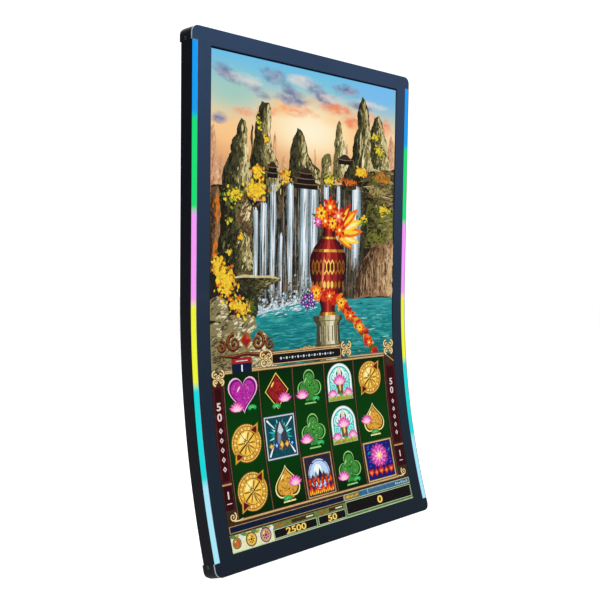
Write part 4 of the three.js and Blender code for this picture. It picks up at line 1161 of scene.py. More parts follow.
def garland(swag, rng):
    """A swag of leaves and flowers that hangs from the vase to the water."""
    line = [(0, 524), (26, 510), (56, 508), (84, 500), (106, 480), (126, 458), (148, 440), (170, 418),
            (190, 388), (198, 376)]
    marks = [(x0 + (x1 - x0) * k / 5, s0 + (s1 - s0) * k / 5, atan2(s1 - s0, x1 - x0))
             for (x0, s0), (x1, s1) in zip(line, line[1:]) for k in range(5)]
    leaves = ["petal_red", "petal_orange", "red", "red_light", "gold", "leaf_green", "petal_red"]
    swag.ribbon(line, [3, 5, 5, 5, 5, 5, 5, 4, 3, 1], "red_deep", 0)
    for index, (x, s, along) in enumerate(marks):
        taper = 1.0 - 0.2 * index / len(marks)
        for side in (-1, 1):
            turn = along + pi + side * rng.uniform(0.5, 1.0)
            reach = 25 * taper * rng.uniform(0.75, 1.2)
            name = rng.choice(leaves)
            swag.dab(*polar(x, s, -0.4 * reach, turn), reach, reach * 0.36, turn, name,
                     1 + index * 0.04 + rng.uniform(0, 0.4))
    for index in range(3, len(marks), 7):
        x, s, _ = marks[index]
        flower(swag, x, s, 17 - 0.12 * index, AMBER if index % 2 else SCARLET, 4, 7, index)
    for x, s in ((-16, 508), (-4, 500), (-22, 496), (-10, 488), (6, 492), (2, 510)):
        flower(swag, x, s, 9, PLUM, 4.5, 6, x)


def bouquet(bunch, rng):
    """Leaves, a fan of long petals and seven flowers in the vase's mouth."""
    for _ in range(26):
        angle = radians(rng.uniform(8, 172))
        reach = rng.uniform(26, 60)
        bunch.dab(VASE_X + 0.5 * reach * cos(angle), 668 + 0.42 * reach * sin(angle), reach,
                  reach * 0.2, angle, rng.choice(["leaf_deep", "leaf_green", "leaf_deep", "leaf_olive"]),
                  rng.uniform(0, 1))
    for angle, reach, name in (
        (56, 84, "petal_red"), (40, 92, "petal_orange"), (22, 90, "petal_yellow"), (6, 88, "petal_orange"),
        (-12, 78, "petal_yellow"), (-28, 64, "petal_orange"),
    ):
        turn = radians(angle)
        root = (VASE_X + 20, 640)
        bunch.dab(*polar(*root, reach / 2, turn), reach, reach * 0.24, turn, name, 1.5 + angle / 100)
        bunch.dab(*polar(*root, reach * 0.6, turn), reach * 0.5, reach * 0.09, turn,
                  "gold_pale" if name == "petal_yellow" else "petal_yellow", 2.2 + angle / 100)
    for x, s, size, inks in (
        (54, 698, 24, SCARLET), (28, 684, 20, AMBER), (80, 680, 22, FLAME), (40, 668, 18, SCARLET),
        (62, 664, 17, AMBER), (18, 666, 13, ROSE), (84, 650, 19, SCARLET),
    ):
        flower(bunch, x, s, size, inks, 4, 7, rng.uniform(0, 1))


def scrollwork(scroll):
    """A bronze scroll with a red gem, at the lower left of the lake."""
    x = -178
    for up, shade, shift, width in ((0, "bronze_dark", -1.2, 9), (1, "red_dark", 0, 6.5),
                                    (2, "gold_dark", 0.6, 2.2)):
        for side in (-1, 1):
            middle = x + side * 30
            scroll.curl(middle, 424 + shift, 18, UPRIGHT, side * -1.4, width, shade, up)
            scroll.curl(middle + side * 32, 418 + shift, 12, UPRIGHT, side * 1.3, width * 0.8, shade, up)
        wave = ((-250, 402), (-210, 398), (x, 402), (-146, 398), (-104, 404))
        scroll.ribbon([(along, s + shift) for along, s in wave], [2, width, width * 0.8, width, 2], shade,
                      up + 0.5)
    scroll.shape([(x, 446), (x + 16, 428), (x, 408), (x - 16, 428)], "gold_dark", 3)
    scroll.shape([(x, 441), (x + 12, 428), (x, 413), (x - 12, 428)], "red", 3.5)
    scroll.shape([(x, 441), (x + 12, 428), (x, 430)], "red_light", 4)


vase_rng = random.Random(11)
paint("vase", 40, vase)
paint("garland", 47, garland, vase_rng)
paint("flowers", 50, bouquet, vase_rng)
paint("scrollwork", 44, scrollwork)

# ---- The lower picture: five reels, their frame, the banner and the meters ----

REEL_EDGES = (-238.0, -150.0, -59.0, 33.0, 125.0, 229.0)
ROWS = (320.8, 228.5, 136.2)
# Inks of a card suit: its rim, dark field, middle field and light marks.
GOLD_SUIT = ("gold_pale", "gold_deep", "gold", "gold_light")
RED_SUIT = ("gold_light", "red_deep", "red", "red_light")
GREEN_SUIT = ("green_light", "green_dark", "green", "green_light")
PURPLE_SUIT = ("pink_light", "magenta_dark", "magenta", "pink")


def lotus(sheet, x, s, size, up):
    """A pink water lily seen from the side."""
    rows = ((7, 1.0, "pink_deep"), (6, 0.9, "pink"), (5, 0.66, "pink_light"))
    for row, (count, part, name) in enumerate(rows):
        reach = size * part
        for k in range(count):
            angle = radians(90 + (k - (count - 1) / 2) * 150 / count)
            sheet.dab(*polar(x, s, 0.5 * reach, angle), reach, reach * 0.36, angle, name,
                      up + row * 0.5 + k * 0.03)
    sheet.dab(x, s + size * 0.2, size * 0.3, size * 0.16, 0, "gold_pale", up + 1.8)


def pad(sheet, x, s, size, up):
    """A round lily leaf with pale veins."""
    for lift, start, sweep, wide, tall, rise, name in ((0, -60, 300, 1, 0.55, 0, "leaf_shade"),
                                                       (0.4, -50, 280, 0.85, 0.45, 0.3, "leaf")):
        rim = [(x + wide * size * cos(a), s + rise + tall * size * sin(a))
               for a in (radians(start + sweep * k / 20) for k in range(21))]
        sheet.shape([(x, s + lift)] + rim, name, up + lift)
    for k in range(5):
        angle = radians(20 + 52 * k)
        tip = (x + 0.75 * size * cos(angle), s + 0.4 * size * sin(angle))
        sheet.ribbon([(x, s), tip], [0.9, 0.3], "green_light", up + 0.7)


def heart_line(x, s, size, flip=1):
    points = []
    for t in (tau * k / 36 for k in range(36)):
        rise = 13 * cos(t) - 5 * cos(2 * t) - 2 * cos(3 * t) - cos(4 * t)
        points.append((x + size * sin(t) ** 3, s + flip * size * (rise + 2.5) / 15))
    return points


def suit_lines(kind, x, s, size):
    """The outlines that make up a card suit at that size."""
    if kind == "heart":
        return [heart_line(x, s, size)]
    if kind == "diamond":
        return [[(x - size * 0.86, s), (x, s - size), (x + size * 0.86, s), (x, s + size)]]
    foot = [(x + size * part, s - size * drop) for part, drop in
            ((-0.46, 1), (0.46, 1), (0.14, 0.35), (0.1, 0), (-0.1, 0), (-0.14, 0.35))]
    if kind == "club":
        lobes = ((0, 0.52), (-0.5, -0.12), (0.5, -0.12))
        return [circle(x + dx * size, s + ds * size, size * 0.43) for dx, ds in lobes] + [foot]
    return [heart_line(x, s + size * 0.12, size * 0.9, -1), foot]


def suit(sheet, x, s, kind, inks, lily=(-22, -24), leaf=(16, -28)):
    """A card suit with a metal rim, a patterned face, a lily and a leaf."""
    rim, dark, mid, light = inks
    for up, size, name in ((0, 37, rim), (1.2, 34, dark), (2.4, 29.5, mid)):
        for index, line in enumerate(suit_lines(kind, x, s, size)):
            sheet.shape(line, name, up + 0.2 * index)
    rng = random.Random(int(x * 7 + s))
    lines = suit_lines(kind, x, s, 27)
    for _ in range(110):
        px, ps = x + rng.uniform(-28, 28), s + rng.uniform(-28, 30)
        if any(inside(px, ps, line) and inside(px + 2, ps + 2, line) for line in lines):
            sheet.dab(px, ps, rng.uniform(3, 6), rng.uniform(1, 2), rng.uniform(0, 3.14),
                      light if rng.random() < 0.35 + (ps - s) / 90 else dark, 3.4 + rng.uniform(0, 0.6))
    sheet.dab(x - 11, s + 13, 15, 4, 0.9, rim, 4.2)
    pad(sheet, x + leaf[0], s + leaf[1], 12, 4.4)
    lotus(sheet, x + lily[0], s + lily[1], 21, 5.4)


def coin(sheet, x, s):
    """A gilt wheel crossed by an arrow."""
    sheet.discs(x, s, ((0, 38, "gold_deep"), (0.6, 36.5, "gold"), (1.2, 33, "gold_deep"), (1.8, 32, "gold"),
                       (2.4, 25, "gold_deep"), (3.0, 24, "gold_bright")), steps=40)
    for k in range(20):
        angle = tau * k / 20
        sheet.dab(*polar(x, s, 28.5, angle), 7, 3.4, angle, "gold_light" if k % 2 else "gold_pale", 2.6)
        sheet.dab(*polar(x, s, 14, angle), 20, 3.2, angle,
                  "gold_light" if k % 2 else "gold_dark", 3.5 + k * 0.02)
    for stud in circle(x, s, 35, 40):
        sheet.disc(*stud, 0.9, "gold_pale", 1.0, steps=6)
    sheet.dab(x - 8, s + 12, 30, 12, 0.7, "gold_pale", 4.0)
    sheet.discs(x, s, ((4.2, 6, "gold_deep"), (4.5, 4.6, "gold_light")))
    sheet.ribbon([(x - 30, s - 24), (x, s - 1), (x + 30, s + 24)], [2.6, 2.2, 2.6], "red_deep", 4.8)
    sheet.line(x - 18, s + 27, x + 18, s - 27, 1.2, "gold_deep", 4.7)
    for side in (-1, 1):
        mx, ms = x + side * 21, s + side * 23
        for up, grow, name in ((5, 1.0, "gold_deep"), (5.3, 0.9, "gold"), (5.6, 0.62, "red_dark")):
            reach = side * grow
            sheet.shape([(mx + 13 * reach, ms + 15 * reach), (mx - 14 * reach, ms + reach),
                         (mx - 3 * reach, ms - 5 * reach), (mx + 9 * reach, ms - 13 * reach)], name, up)


def mirrored(x, s, half_line):
    """A closed outline from one half of it: (distance from the axis, rise) pairs."""
    left = [(x - reach, s + rise) for reach, rise in half_line]
    return left + [(x + reach, s + rise) for reach, rise in reversed(half_line) if reach]


def arch(sheet, x, s):
    """A pale arched window with a fountain of lilies."""
    def outline(half, low, top):
        crown = [(x + half * cos(a), s + top + half * 0.95 * sin(a))
                 for a in (pi * k / 16 for k in range(17))]
        return [(x - half, s + low), (x + half, s + low)] + crown

    for up, half, low, name in ((0, 38, -40, "steel_light"), (0.5, 36.5, -38.5, "white"),
                                (1.0, 32, -36, "teal"), (1.5, 29, -35, "ice")):
        sheet.shape(outline(half, low, 4), name, up)
    for side in (-1, 1):
        for k, radius in enumerate((13, 9.5, 6)):
            sheet.disc(x + side * 19, s + 10, radius, "white" if k % 2 else "teal", 2 + 0.3 * k,
                       radius - 1.6, 20)
        sheet.curl(x + side * 20, s - 10, 9, 0.5, side * 1.3, 2.4, "teal", 2.6)
        for k in range(5):
            sheet.dab(x + side * (8 + 3 * k), s + 26 - 4 * k, 12, 3, side * (1.9 - 0.25 * k), "white",
                      3 + 0.1 * k)
    sheet.shape(outline(9, -26, 18), "night", 3.4)
    sheet.dab(x, s + 22, 24, 12, UPRIGHT, "stone_pale", 4)
    sheet.dab(x, s + 8, 26, 16, UPRIGHT, "pink_light", 4.2)
    sheet.shape(mirrored(x, s, [(12, -4), (7, -22), (10, -30)]), "bronze", 4.6)
    sheet.dab(x, s - 12, 18, 6, UPRIGHT, "gold_light", 5)
    sheet.box(x - 37, x + 37, s - 39.5, s - 29, "leaf_lime", 5.2)
    for k in range(11):
        sheet.dab(x - 33 + 6.6 * k, s - 31 + (k % 3) * 2, 9, 5, 0.5 * (k % 4),
                  ("green_light", "pink_light", "leaf")[k % 3], 5.5 + 0.04 * k)
    for shift, rise, size, up in ((-24, -30, 17, 6), (24, -30, 17, 6), (0, -6, 24, 6.4)):
        lotus(sheet, x + shift, s + rise, size, up)


def framed(sheet, x, s, half, rim, field):
    """A picture frame with a bevelled edge; what it holds starts two layers up."""
    rows = ((0, 0, rim[0]), (0.5, 1.6, rim[1]), (1.0, 4.0, rim[2]), (1.5, 5.6, field))
    sheet.boxes(x - half, x + half, s - 44, s + 44, rows, 1.5)


def crystal(sheet, x, s):
    """A crystal in front of rays, over a row of gems."""
    framed(sheet, x, s, 42, ("steel_dark", "steel_light", "steel_dark"), "teal_deep")
    for k in range(24):
        angle = tau * k / 24
        reach = 33 if k % 2 else 27
        sheet.dab(*polar(x, s + 4, reach / 2, angle), reach, 3 + k % 3, angle, ("teal", "ice", "teal")[k % 3],
                  2.2 + 0.02 * k)
    for corner in (-1, 1):
        for side in (-1, 1):
            sheet.ribbon([(x + side * 34, s + corner * 36), (x + side * 16, s + corner * 12 + 6)], [4, 1.4],
                         "white", 3)
    sheet.shape(mirrored(x, s, [(22, -26), (17, 6), (9, 26), (0, 35)]), "steel_dark", 3.4)
    sheet.shape(mirrored(x, s, [(12, -20), (8, 12), (0, 30)]) + [(x, s - 28)], "steel", 3.8)
    sheet.shape([(x - 8, s + 12), (x, s + 30), (x + 8, s + 12), (x, s + 4)], "steel_light", 4.2)
    sheet.shape([(x, s + 4), (x + 8, s + 12), (x + 12, s - 20), (x, s - 28)], "steel_dark", 4.2)
    for k in range(5):
        inks = ("ink_black", "blue", "ice") if k % 3 == 1 else ("ink_black", "gold", "gold_light")
        for up, size, name in zip((5, 5.4, 5.8), (1.0, 0.8, 0.4), inks):
            sheet.diamond(x - 28 + 14 * k, s - 16, 7.5 * size, (11 - abs(k - 2) * 2) * size, name, up)


def moonlit_range(sheet, x, s):
    """Hills under a moon, behind a row of flames."""
    framed(sheet, x, s, 42, ("bronze_dark", "bronze_light", "bronze_dark"), "night")
    sheet.discs(x, s + 2, ((2, 31, "steel_light"), (2.4, 28.5, "blue"), (2.8, 27, "moon")))
    sheet.disc(x - 3, s + 12, 11, "white", 3.1)
    for k, (dx, rise) in enumerate(((-20, 12), (-10, 18), (2, 22), (12, 15), (21, 10))):
        sheet.shape([(x + dx - 9, s - 8), (x + dx, s - 8 + rise), (x + dx + 9, s - 8)],
                    ("steel_dark", "steel", "night")[k % 3], 3.5 + 0.1 * k)
    sheet.box(x - 27, x + 27, s - 12, s - 7.5, "steel_dark", 4.2)
    for k in range(6):
        for up, size, name in ((5, 1.0, "red_deep"), (5.3, 0.85, "petal_red"), (5.6, 0.45, "petal_orange")):
            sheet.dab(x - 30 + 12 * k, s - 11, 24 * size, 10 * size, UPRIGHT + 0.15 * (k % 3 - 1), name,
                      up + 0.02 * k)
    for k in range(13):
        place, tall = x - 33 + 5.5 * k, 15 + 6 * sin(k * 2.1)
        sheet.dab(place, s - 37 + tall / 2, tall, 7, UPRIGHT + 0.2 * sin(k), "petal_red", 6 + 0.02 * k)
        sheet.dab(place, s - 37.5 + tall * 0.36, tall * 0.7, 5, UPRIGHT, "petal_orange", 6.4 + 0.02 * k)
        sheet.dab(place, s - 38 + tall * 0.24, tall * 0.45, 3, UPRIGHT, "petal_yellow", 6.8 + 0.02 * k)


def open_lotus(sheet, x, s):
    """A lotus seen from above, over a row of hearts and diamonds."""
    framed(sheet, x, s, 48, ("bronze", "tan", "bronze_dark"), "blue_deep")
    rng = random.Random(5)
    for _ in range(90):
        sheet.dab(x + rng.uniform(-37, 37), s + rng.uniform(-10, 35), rng.uniform(3, 9), rng.uniform(1.5, 4),
                  rng.uniform(0, 3.1), rng.choice(["blue", "violet", "blue", "magenta", "teal"]),
                  2.2 + rng.uniform(0, 0.5))
    for row, (count, reach, name) in enumerate(((12, 30, "pink_deep"), (12, 26, "pink"), (10, 20, "magenta"),
                                                (9, 18, "pink"), (8, 14, "pink_light"))):
        for k in range(count):
            angle = tau * (k + 0.5 * (row % 2)) / count
            sheet.dab(x + 0.52 * reach * cos(angle), s + 10 + 0.46 * reach * sin(angle), reach,
                      reach * 0.3, atan2(0.88 * sin(angle), cos(angle)), name,
                      3 + row * 0.5 + 0.02 * k)
    sheet.disc(x, s + 10, 6.5, "petal_yellow", 5.6)
    sheet.disc(x, s + 11, 4, "gold_pale", 5.9)
    for k in range(5):
        for up, size, name in ((6.2, 1.0, "red_deep"), (6.5, 0.86, "petal_red"), (6.8, 0.45, "red_glow")):
            for line in suit_lines(("heart", "diamond")[k % 2], x - 33 + 16.5 * k, s - 25, 10.5 * size):
                sheet.shape(line, name, up)


# Each reel's symbols from the top down: how far right of its middle, the drawing, and what that needs.
REELS = (
    ((2, suit, "heart", PURPLE_SUIT, (-18, -30), (20, -26)), (0, coin), (0, coin)),
    ((0, suit, "diamond", RED_SUIT, (20, -24), (-4, -31)), (0, crystal),
     (0, suit, "spade", GOLD_SUIT, (22, -8), (-4, -30))),
    ((0, suit, "club", GREEN_SUIT), (0, suit, "club", GREEN_SUIT), (0, moonlit_range)),
    ((0, arch), (0, arch), (0, suit, "club", GREEN_SUIT)),
    ((0, coin), (0, suit, "spade", GOLD_SUIT, (-24, -8), (0, -30)), (0, open_lotus)),
)


def reels(back):
    back.box(-ACTIVE_HALF, ACTIVE_HALF, ACTIVE_LOW, 370, "bronze_dark", -1)
    for left, right in zip(REEL_EDGES, REEL_EDGES[1:]):
        back.box(left + 2.5, right - 2.5, REEL_LOW + 2, REEL_HIGH - 2, "reel_green", 1)


def reel_frame(rim):
    for edge in REEL_EDGES:
        for up, half, name in ((0, 3.4, "ink_black"), (0.5, 2.1, "bronze_dark"), (1, 0.7, "bronze")):
            rim.box(edge - half, edge + half, REEL_LOW, REEL_HIGH, name, up)
    for s in (REEL_LOW, REEL_HIGH):
        for up, half, name in ((1.5, 3.2, "bronze_dark"), (2, 1.9, "bronze_light"), (2.5, 0.6, "tan")):
            rim.box(-240, 231, s - half, s + half, name, up)
    for k, name in enumerate(("bronze", "tan", "bronze_light")):
        rim.ribbon([(-264, 350), (-240, 371 - k), (-140, 372 - k), (-118, 399 - k), (92, 401 - k),
                    (112, 374 - k), (232, 373 - k), (264, 352)], [2.6 - 0.7 * k] * 8, name, 3 + 0.4 * k)


def symbols(reel, middle, drawings):
    for s, (shift, draw, *more) in zip(ROWS, drawings):
        draw(reel, middle + shift, s, *more)


def side_panels(sides):
    for x_low, x_high in ((-264.4, -242.2), (233.2, 264.4)):
        middle = (x_low + x_high) / 2
        sides.box(x_low, x_high, 92, 346, "bronze_dark")
        sides.box(x_low + 1.2, x_high - 1.2, 162, 344, "side_red", 0.5)
        sides.box(x_low + 3.5, x_high - 3.5, 166, 340, "side_dark", 0.8)
        sides.box(x_low + 1.2, x_high - 1.2, 112, 157, "side_dark", 0.5)
        sides.line(x_low, 159.5, x_high, 159.5, 3, "bronze_light", 1)
        for text, s in (("5", 306), ("0", 286)):
            sides.digits(text, middle, s, 15, "pale_print", 1.5, 1.1, 0.035)
        for s in range(260, 187, -18):
            sides.diamond(middle, s, 4.5, 5.5, "pale_print", 1.5)
            sides.diamond(middle, s, 2, 2.5, "side_red", 2)
        sides.digits("1", middle, 140, 14, "pale_print", 1.5, 1.1, 0.035)
        sides.line(middle - 6, 124, middle + 6, 124, 1.6, "pale_print", 1.5)


def rosette(sheet, x, s, size):
    """A cast corner ornament: scrolls round a boss."""
    for up, width, name in ((0, 0.42, "bronze_dark"), (0.6, 0.28, "bronze_light"), (1.2, 0.11, "gold_pale")):
        for side in (-1, 1):
            sheet.curl(x + side * size * 0.45, s + size * 0.35, size * 0.5, UPRIGHT, -side * 1.2,
                       size * width, name, up)
            sheet.curl(x + side * size * 0.42, s - size * 0.5, size * 0.42, -UPRIGHT, side * 1.2,
                       size * width, name, up)
    sheet.discs(x, s, ((2, 0.44, "bronze_dark"), (2.4, 0.36, "tan"), (2.8, 0.2, "bronze"),
                       (3.1, 0.12, "gold_pale")), size)


def ornaments(trim):
    """Corner scrolls, the banner with its beads, and the small sign above the first reel."""
    for x, s, size in ((-250, 360, 16), (-128, 388, 17), (106, 392, 17), (247, 386, 18)):
        rosette(trim, x, s, size)
    for side in (-1, 1):
        for up, width, name in ((0, 5, "bronze_dark"), (0.5, 3.4, "tan"), (1, 1.2, "gold_pale")):
            trim.curl(side * 250, 99, 9, UPRIGHT + side * 0.6, side * 1.3, width, name, up)
            trim.ribbon([(side * 248, 91), (side * 236, 90), (side * 226, 93)], [width, width * 0.8, 0.6],
                        name, up)
    trim.boxes(-114, 90, 373, 397, ((0, 0, "bronze_dark"), (0.5, 1.2, "tan"), (1, 2.8, "bronze_dark"),
                                    (1.5, 3.8, "ink_black")), 7)
    for k in range(20):
        trim.disc(-88 + 8 * k, 385, 1.5 if k % 2 else 2.8, "steel_light", 2, steps=12)
    for k in range(7):
        trim.dab(-30 + 7 * k, 400 + 2.5 * sin(pi * k / 6), 9, 3.6, 0.6 if k % 2 else -0.6,
                 "gold" if k % 2 else "bronze_light", 2)
    trim.box(-216, -166, 364, 394, "ink_black", 0, 2)
    trim.box(-215, -167, 383, 393, "sign_red", 0.5)
    trim.box(-215, -167, 365, 383, "navy", 0.5)
    trim.digits("1", -191, 374, 13, "white", 1, 1.2, 0.035)
    trim.line(-206, 388, -176, 388, 1.8, "pale_print", 1)


def meters(sheet):
    """The bars under the reels: status lines, three meters and three round buttons."""
    for x_low, x_high, s_low, s_high, name, up in (
        (-ACTIVE_HALF, ACTIVE_HALF, ACTIVE_LOW, 86.5, "bronze_dark", 0),
        (-263.5, 45, 70, 83, "bronze_light", 0.4), (-262, 43.5, 71.2, 81.8, "navy", 0.8),
        (46, 263, 69.5, 83, "pale_green", 0.4), (47.5, 93, 71, 81.8, "olive", 0.8),
        (93, 120, 71, 81.8, "bar_blue", 0.8), (121.5, 261.5, 71, 81.8, "bar_blue", 0.8),
    ):
        sheet.box(x_low, x_high, s_low, s_high, name, up)
    for k, tall in enumerate((8, 5, 7)):
        sheet.dab(58 + 13 * k, 76.5, 15, tall * 0.7, 0.15 * k, "gold", 1.2)
    for k in range(7):
        sheet.box(214 + 6.4 * k, 217.6 + 6.4 * k, 74, 79 - (k % 3), "pale_green", 1.2)
    sheet.ribbon([(126, 80.4), (206, 80.4)], [1.2, 0.4], "steel", 1.2)
    sheet.box(-264, 264, 34.4, 68.5, "bar_green", 0.4)
    sheet.box(-264, -160, 35.5, 66, "cream", 0.7)
    for k in range(12):
        sheet.dab(-258 + 8.6 * k, 64 - 2 * (k % 3), 18, 7, 0.3 * (k % 3 - 1),
                  ("bar_green", "leaf_lime", "mist")[k % 3], 0.9 + 0.02 * k)
    sheet.box(-264, 264, 34.8, 36.6, "pale_green", 1.1)
    for x_low, x_high, s_low, s_high in ((-158, -44, 39, 54), (-37, 41, 39, 54), (48, 260, 42, 66)):
        for up, grow, name in ((1.2, 2.2, "bronze_dark"), (1.6, 1.4, "pale_green"), (2, 0, "ink_black")):
            sheet.box(x_low - grow, x_high + grow, s_low - grow, s_high + grow, name, up, 1.5)
    for x_low, x_high in ((-158, -44), (-37, 41)):
        sheet.box(x_low, x_high, 56.6, 66, "olive", 1.8)
        sheet.box(x_low + 0.42 * (x_high - x_low), x_high - 3, 58, 65, "bronze_dark", 2.2)
        sheet.box(x_low + 4, x_low + 24, 59.5, 63.5, "gold_dark", 2.2)
        sheet.line(x_high - 26, 61.5, x_high - 6, 61.5, 2.6, "cream", 2.6)
    for text, x, s, tall in (("2500", -101, 46.5, 12.5), ("50", 2, 46.5, 12.5), ("0", 154, 54, 15.5)):
        sheet.digits(text, x, s, tall, "gold_deep", 2.7, 1.6, 0.07)
        sheet.digits(text, x, s + 0.2, tall, "gold_light", 3.2, 1.6, 0.035)
    for x, size, outer, face, mark in ((-251, 10.5, "bronze_dark", "gold_dark", "petal_orange"),
                                       (-216, 13.5, "gold_deep", "gold_bright", "gold_deep"),
                                       (-180, 14, "magenta_dark", "haze", "magenta_dark")):
        sheet.discs(x, 51, ((2.4, 1, outer), (2.8, 0.86, "bronze_light"), (3.2, 0.74, face)), size)
        for angle in (tau * k / 8 for k in range(8)):
            sheet.dab(*polar(x, 51, 0.43 * size, angle), 0.36 * size, 0.18 * size, angle, mark, 3.6)
        sheet.disc(x, 51, 0.19 * size, mark, 3.8)
        sheet.dab(x - 0.28 * size, 51 + 0.36 * size, 0.55 * size, 0.2 * size, 0.6, "gold_pale", 4)


paint("reels", 54, reels)
paint("reel_frame", 57, reel_frame)
for number, drawings in enumerate(REELS):
    paint(f"symbols_{number + 1}", 59, symbols, sum(REEL_EDGES[number:number + 2]) / 2, drawings)
paint("side_panels", 59, side_panels)
paint("ornaments", 64, ornaments)
paint("meters", 60, meters)

# ---- Screws, marks and label on the rear, the sides and the keys ----

FLANGE_REAR, HOUSING_REAR = -46.2, -4.3  # y in mm of the housing's flange and rear face
COVER_REAR = 33.2  # the rear cover's outer face, as depth behind the glass's face
ROCKER_PIVOT, ROCKER_TILT = (72.0, -33.5, -196.0), radians(9)
ROCKER_SLOPE = atan2(2.09, 6.02)  # of each half of its face
PRINT = 0.04  # mm that a printed mark stands proud
BACKWARD = (0, 1, 0)


def seat(centre, outward, up=(0, 0, 1)):
    """Lays a flat drawing (x, depth, s) on a face at centre, in mm; depth runs into the face."""
    inward = -Vector(outward).normalized()
    across = inward.cross(Vector(up)).normalized()
    axes = Matrix((across, inward, across.cross(inward))).transposed().to_4x4()
    return Matrix.Translation(Vector(centre) * MM) @ axes @ Matrix.Scale(MM, 4)


def cover_seat(x, s):
    """A seat on the curved rear cover."""
    angle = max(BEND_START - s, 0.0) / BEND_RADIUS
    outward = (0, cos(angle), -sin(angle))
    return seat(curve(x, COVER_REAR, s) / MM, outward, (0, sin(angle), cos(angle)))


def middle_of(node):
    """The middle of a CAD node's box, in mm."""
    low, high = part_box(node)
    return (low + high) / 2 / MM


def put(bm, place, draw, *sizes):
    """Adds a drawing to the mesh at that seat."""
    first = len(bm.verts)
    draw(bm, *sizes)
    bm.verts.ensure_lookup_table()
    for vert in bm.verts[first:]:
        vert.co = place @ vert.co


def screw(bm, radius, height, shank=0.0):
    """A round head with a cross recess, and its shank."""
    arm, half = radius * 0.56, radius * 0.13
    cross = [(half, arm), (half, half), (arm, half), (arm, -half), (half, -half), (half, -arm),
             (-half, -arm), (-half, -half), (-arm, -half), (-arm, half), (-half, half), (-half, arm)]
    floor = -height * 0.3
    plate(bm, [circle(0, 0, radius, 28), cross], -height, floor, height * 0.22)
    plate(bm, [circle(0, 0, radius * 0.995, 28)], floor, 0.0)
    if shank:
        plate(bm, [circle(0, 0, radius * 0.45, 16)], 0.0, shank)


def stroke(bm, half_x, half_s, x=0.0, s=0.0):
    plate(bm, [square(x - half_x, x + half_x, s - half_s, s + half_s)], -PRINT, 0.0)


def ring_mark(bm, radius, width, gap=0.0, s=0.0):
    """A printed ring, open at the top by the gap's angle."""
    steps = 28
    turns = [pi / 2 + gap / 2 + (tau - gap) * k / steps for k in range(steps + bool(gap))]
    outer = [polar(0, s, radius, turn) for turn in turns]
    inner = [polar(0, s, radius - width, turn) for turn in reversed(turns)]
    plate(bm, [outer + inner] if gap else [outer, inner], -PRINT, 0.0)


def frame_mark(bm, half_x, half_s, width):
    hole = square(width - half_x, half_x - width, width - half_s, half_s - width)
    plate(bm, [square(-half_x, half_x, -half_s, half_s), hole[::-1]], -PRINT, 0.0)


def rear_screws():
    """Fourteen down the cover's sides, four along its foot, twelve on the housing, two at the inlet."""
    cover = [(x, s) for s in (50, 200, 350, 500, 650, 800, 955) for x in (-269, 269)]
    cover += [(x, 41) for x in (-180, -60, 60, 180)]
    flange = [(x, z) for x in (-197, 197) for z in (-150, 0, 150)]
    flange += [(x, z) for x in (-130, 0, 130) for z in (-206, 206)]
    bm = bmesh.new()
    for place in cover:
        put(bm, cover_seat(*place), screw, 3.4, 1.5)
    for x, z in flange:
        put(bm, seat((x, FLANGE_REAR, z), BACKWARD), screw, 3.4, 1.5)
    x, y, _ = middle_of("mains_inlet")
    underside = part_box("mains_inlet")[0][2] / MM
    for side in (-20, 20):
        put(bm, seat((x + side, y, underside), (0, 0, -1), BACKWARD), screw, 3.0, 1.4)
    finish_mesh("cover_screws", bm, [LOOKS["black_screw"]])


def swapped_screw(node, outward, radius, height, shank, look):
    """A modelled screw in the place of a plain CAD one, its head flush with the CAD head."""
    low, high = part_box(node)
    centre = (low + high) / 2
    axis = 0 if outward[0] else 1
    centre[axis] = (high if outward[axis] > 0 else low)[axis] - outward[axis] * height * MM
    bm = bmesh.new()
    put(bm, seat(centre / MM, outward), screw, radius, height, shank)
    piece = finish_mesh(node + "_cross", bm, [LOOKS[look]])
    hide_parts(node)


def printed(name, body, *marks):
    """Pale print on one part: each mark is a seat, a drawing and its sizes."""
    bm = bmesh.new()
    for mark in marks:
        put(bm, *mark)
    finish_mesh(name, bm, [LOOKS["print"]], body)


def key_print():
    """Power, menu, minus, plus and input marks, each on its own key."""
    for key, *marks in (
        ("power", (ring_mark, 1.6, 0.42, 1.3, -0.1), (stroke, 0.2, 0.9, 0, 1.0)),
        ("menu", (stroke, 1.7, 0.22, 0, -1.1), (stroke, 1.7, 0.22), (stroke, 1.7, 0.22, 0, 1.1)),
        ("minus", (stroke, 1.5, 0.25)),
        ("plus", (stroke, 1.5, 0.25), (stroke, 0.25, 0.625, 0, 0.875), (stroke, 0.25, 0.625, 0, -0.875)),
        ("input", (frame_mark, 1.9, 1.5, 0.35), (stroke, 0.9, 0.2)),
    ):
        x, _, z = middle_of("key_" + key)
        face = seat((x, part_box("key_" + key)[1][1] / MM, z), BACKWARD)
        printed(key + "_key_mark", key + "_key", *((face, *mark) for mark in marks))


def rocker_print():
    """A bar on one half of the rocker and a ring on the other."""
    turn = Matrix.Rotation(ROCKER_TILT, 3, "X")
    marks = []
    for side, *mark in ((-1, stroke, 0.3, 1.6), (1, ring_mark, 1.5, 0.4)):
        centre = turn @ Vector((0, side * 3.2, -4.6 - 3.2 * tan(ROCKER_SLOPE)))
        outward = turn @ Vector((0, -side * sin(ROCKER_SLOPE), -cos(ROCKER_SLOPE)))
        along = turn @ Vector((0, cos(ROCKER_SLOPE), -side * sin(ROCKER_SLOPE)))
        marks.append((seat(Vector(ROCKER_PIVOT) + centre, outward, along), *mark))
    printed("rocker_marks", "rocker", *marks)


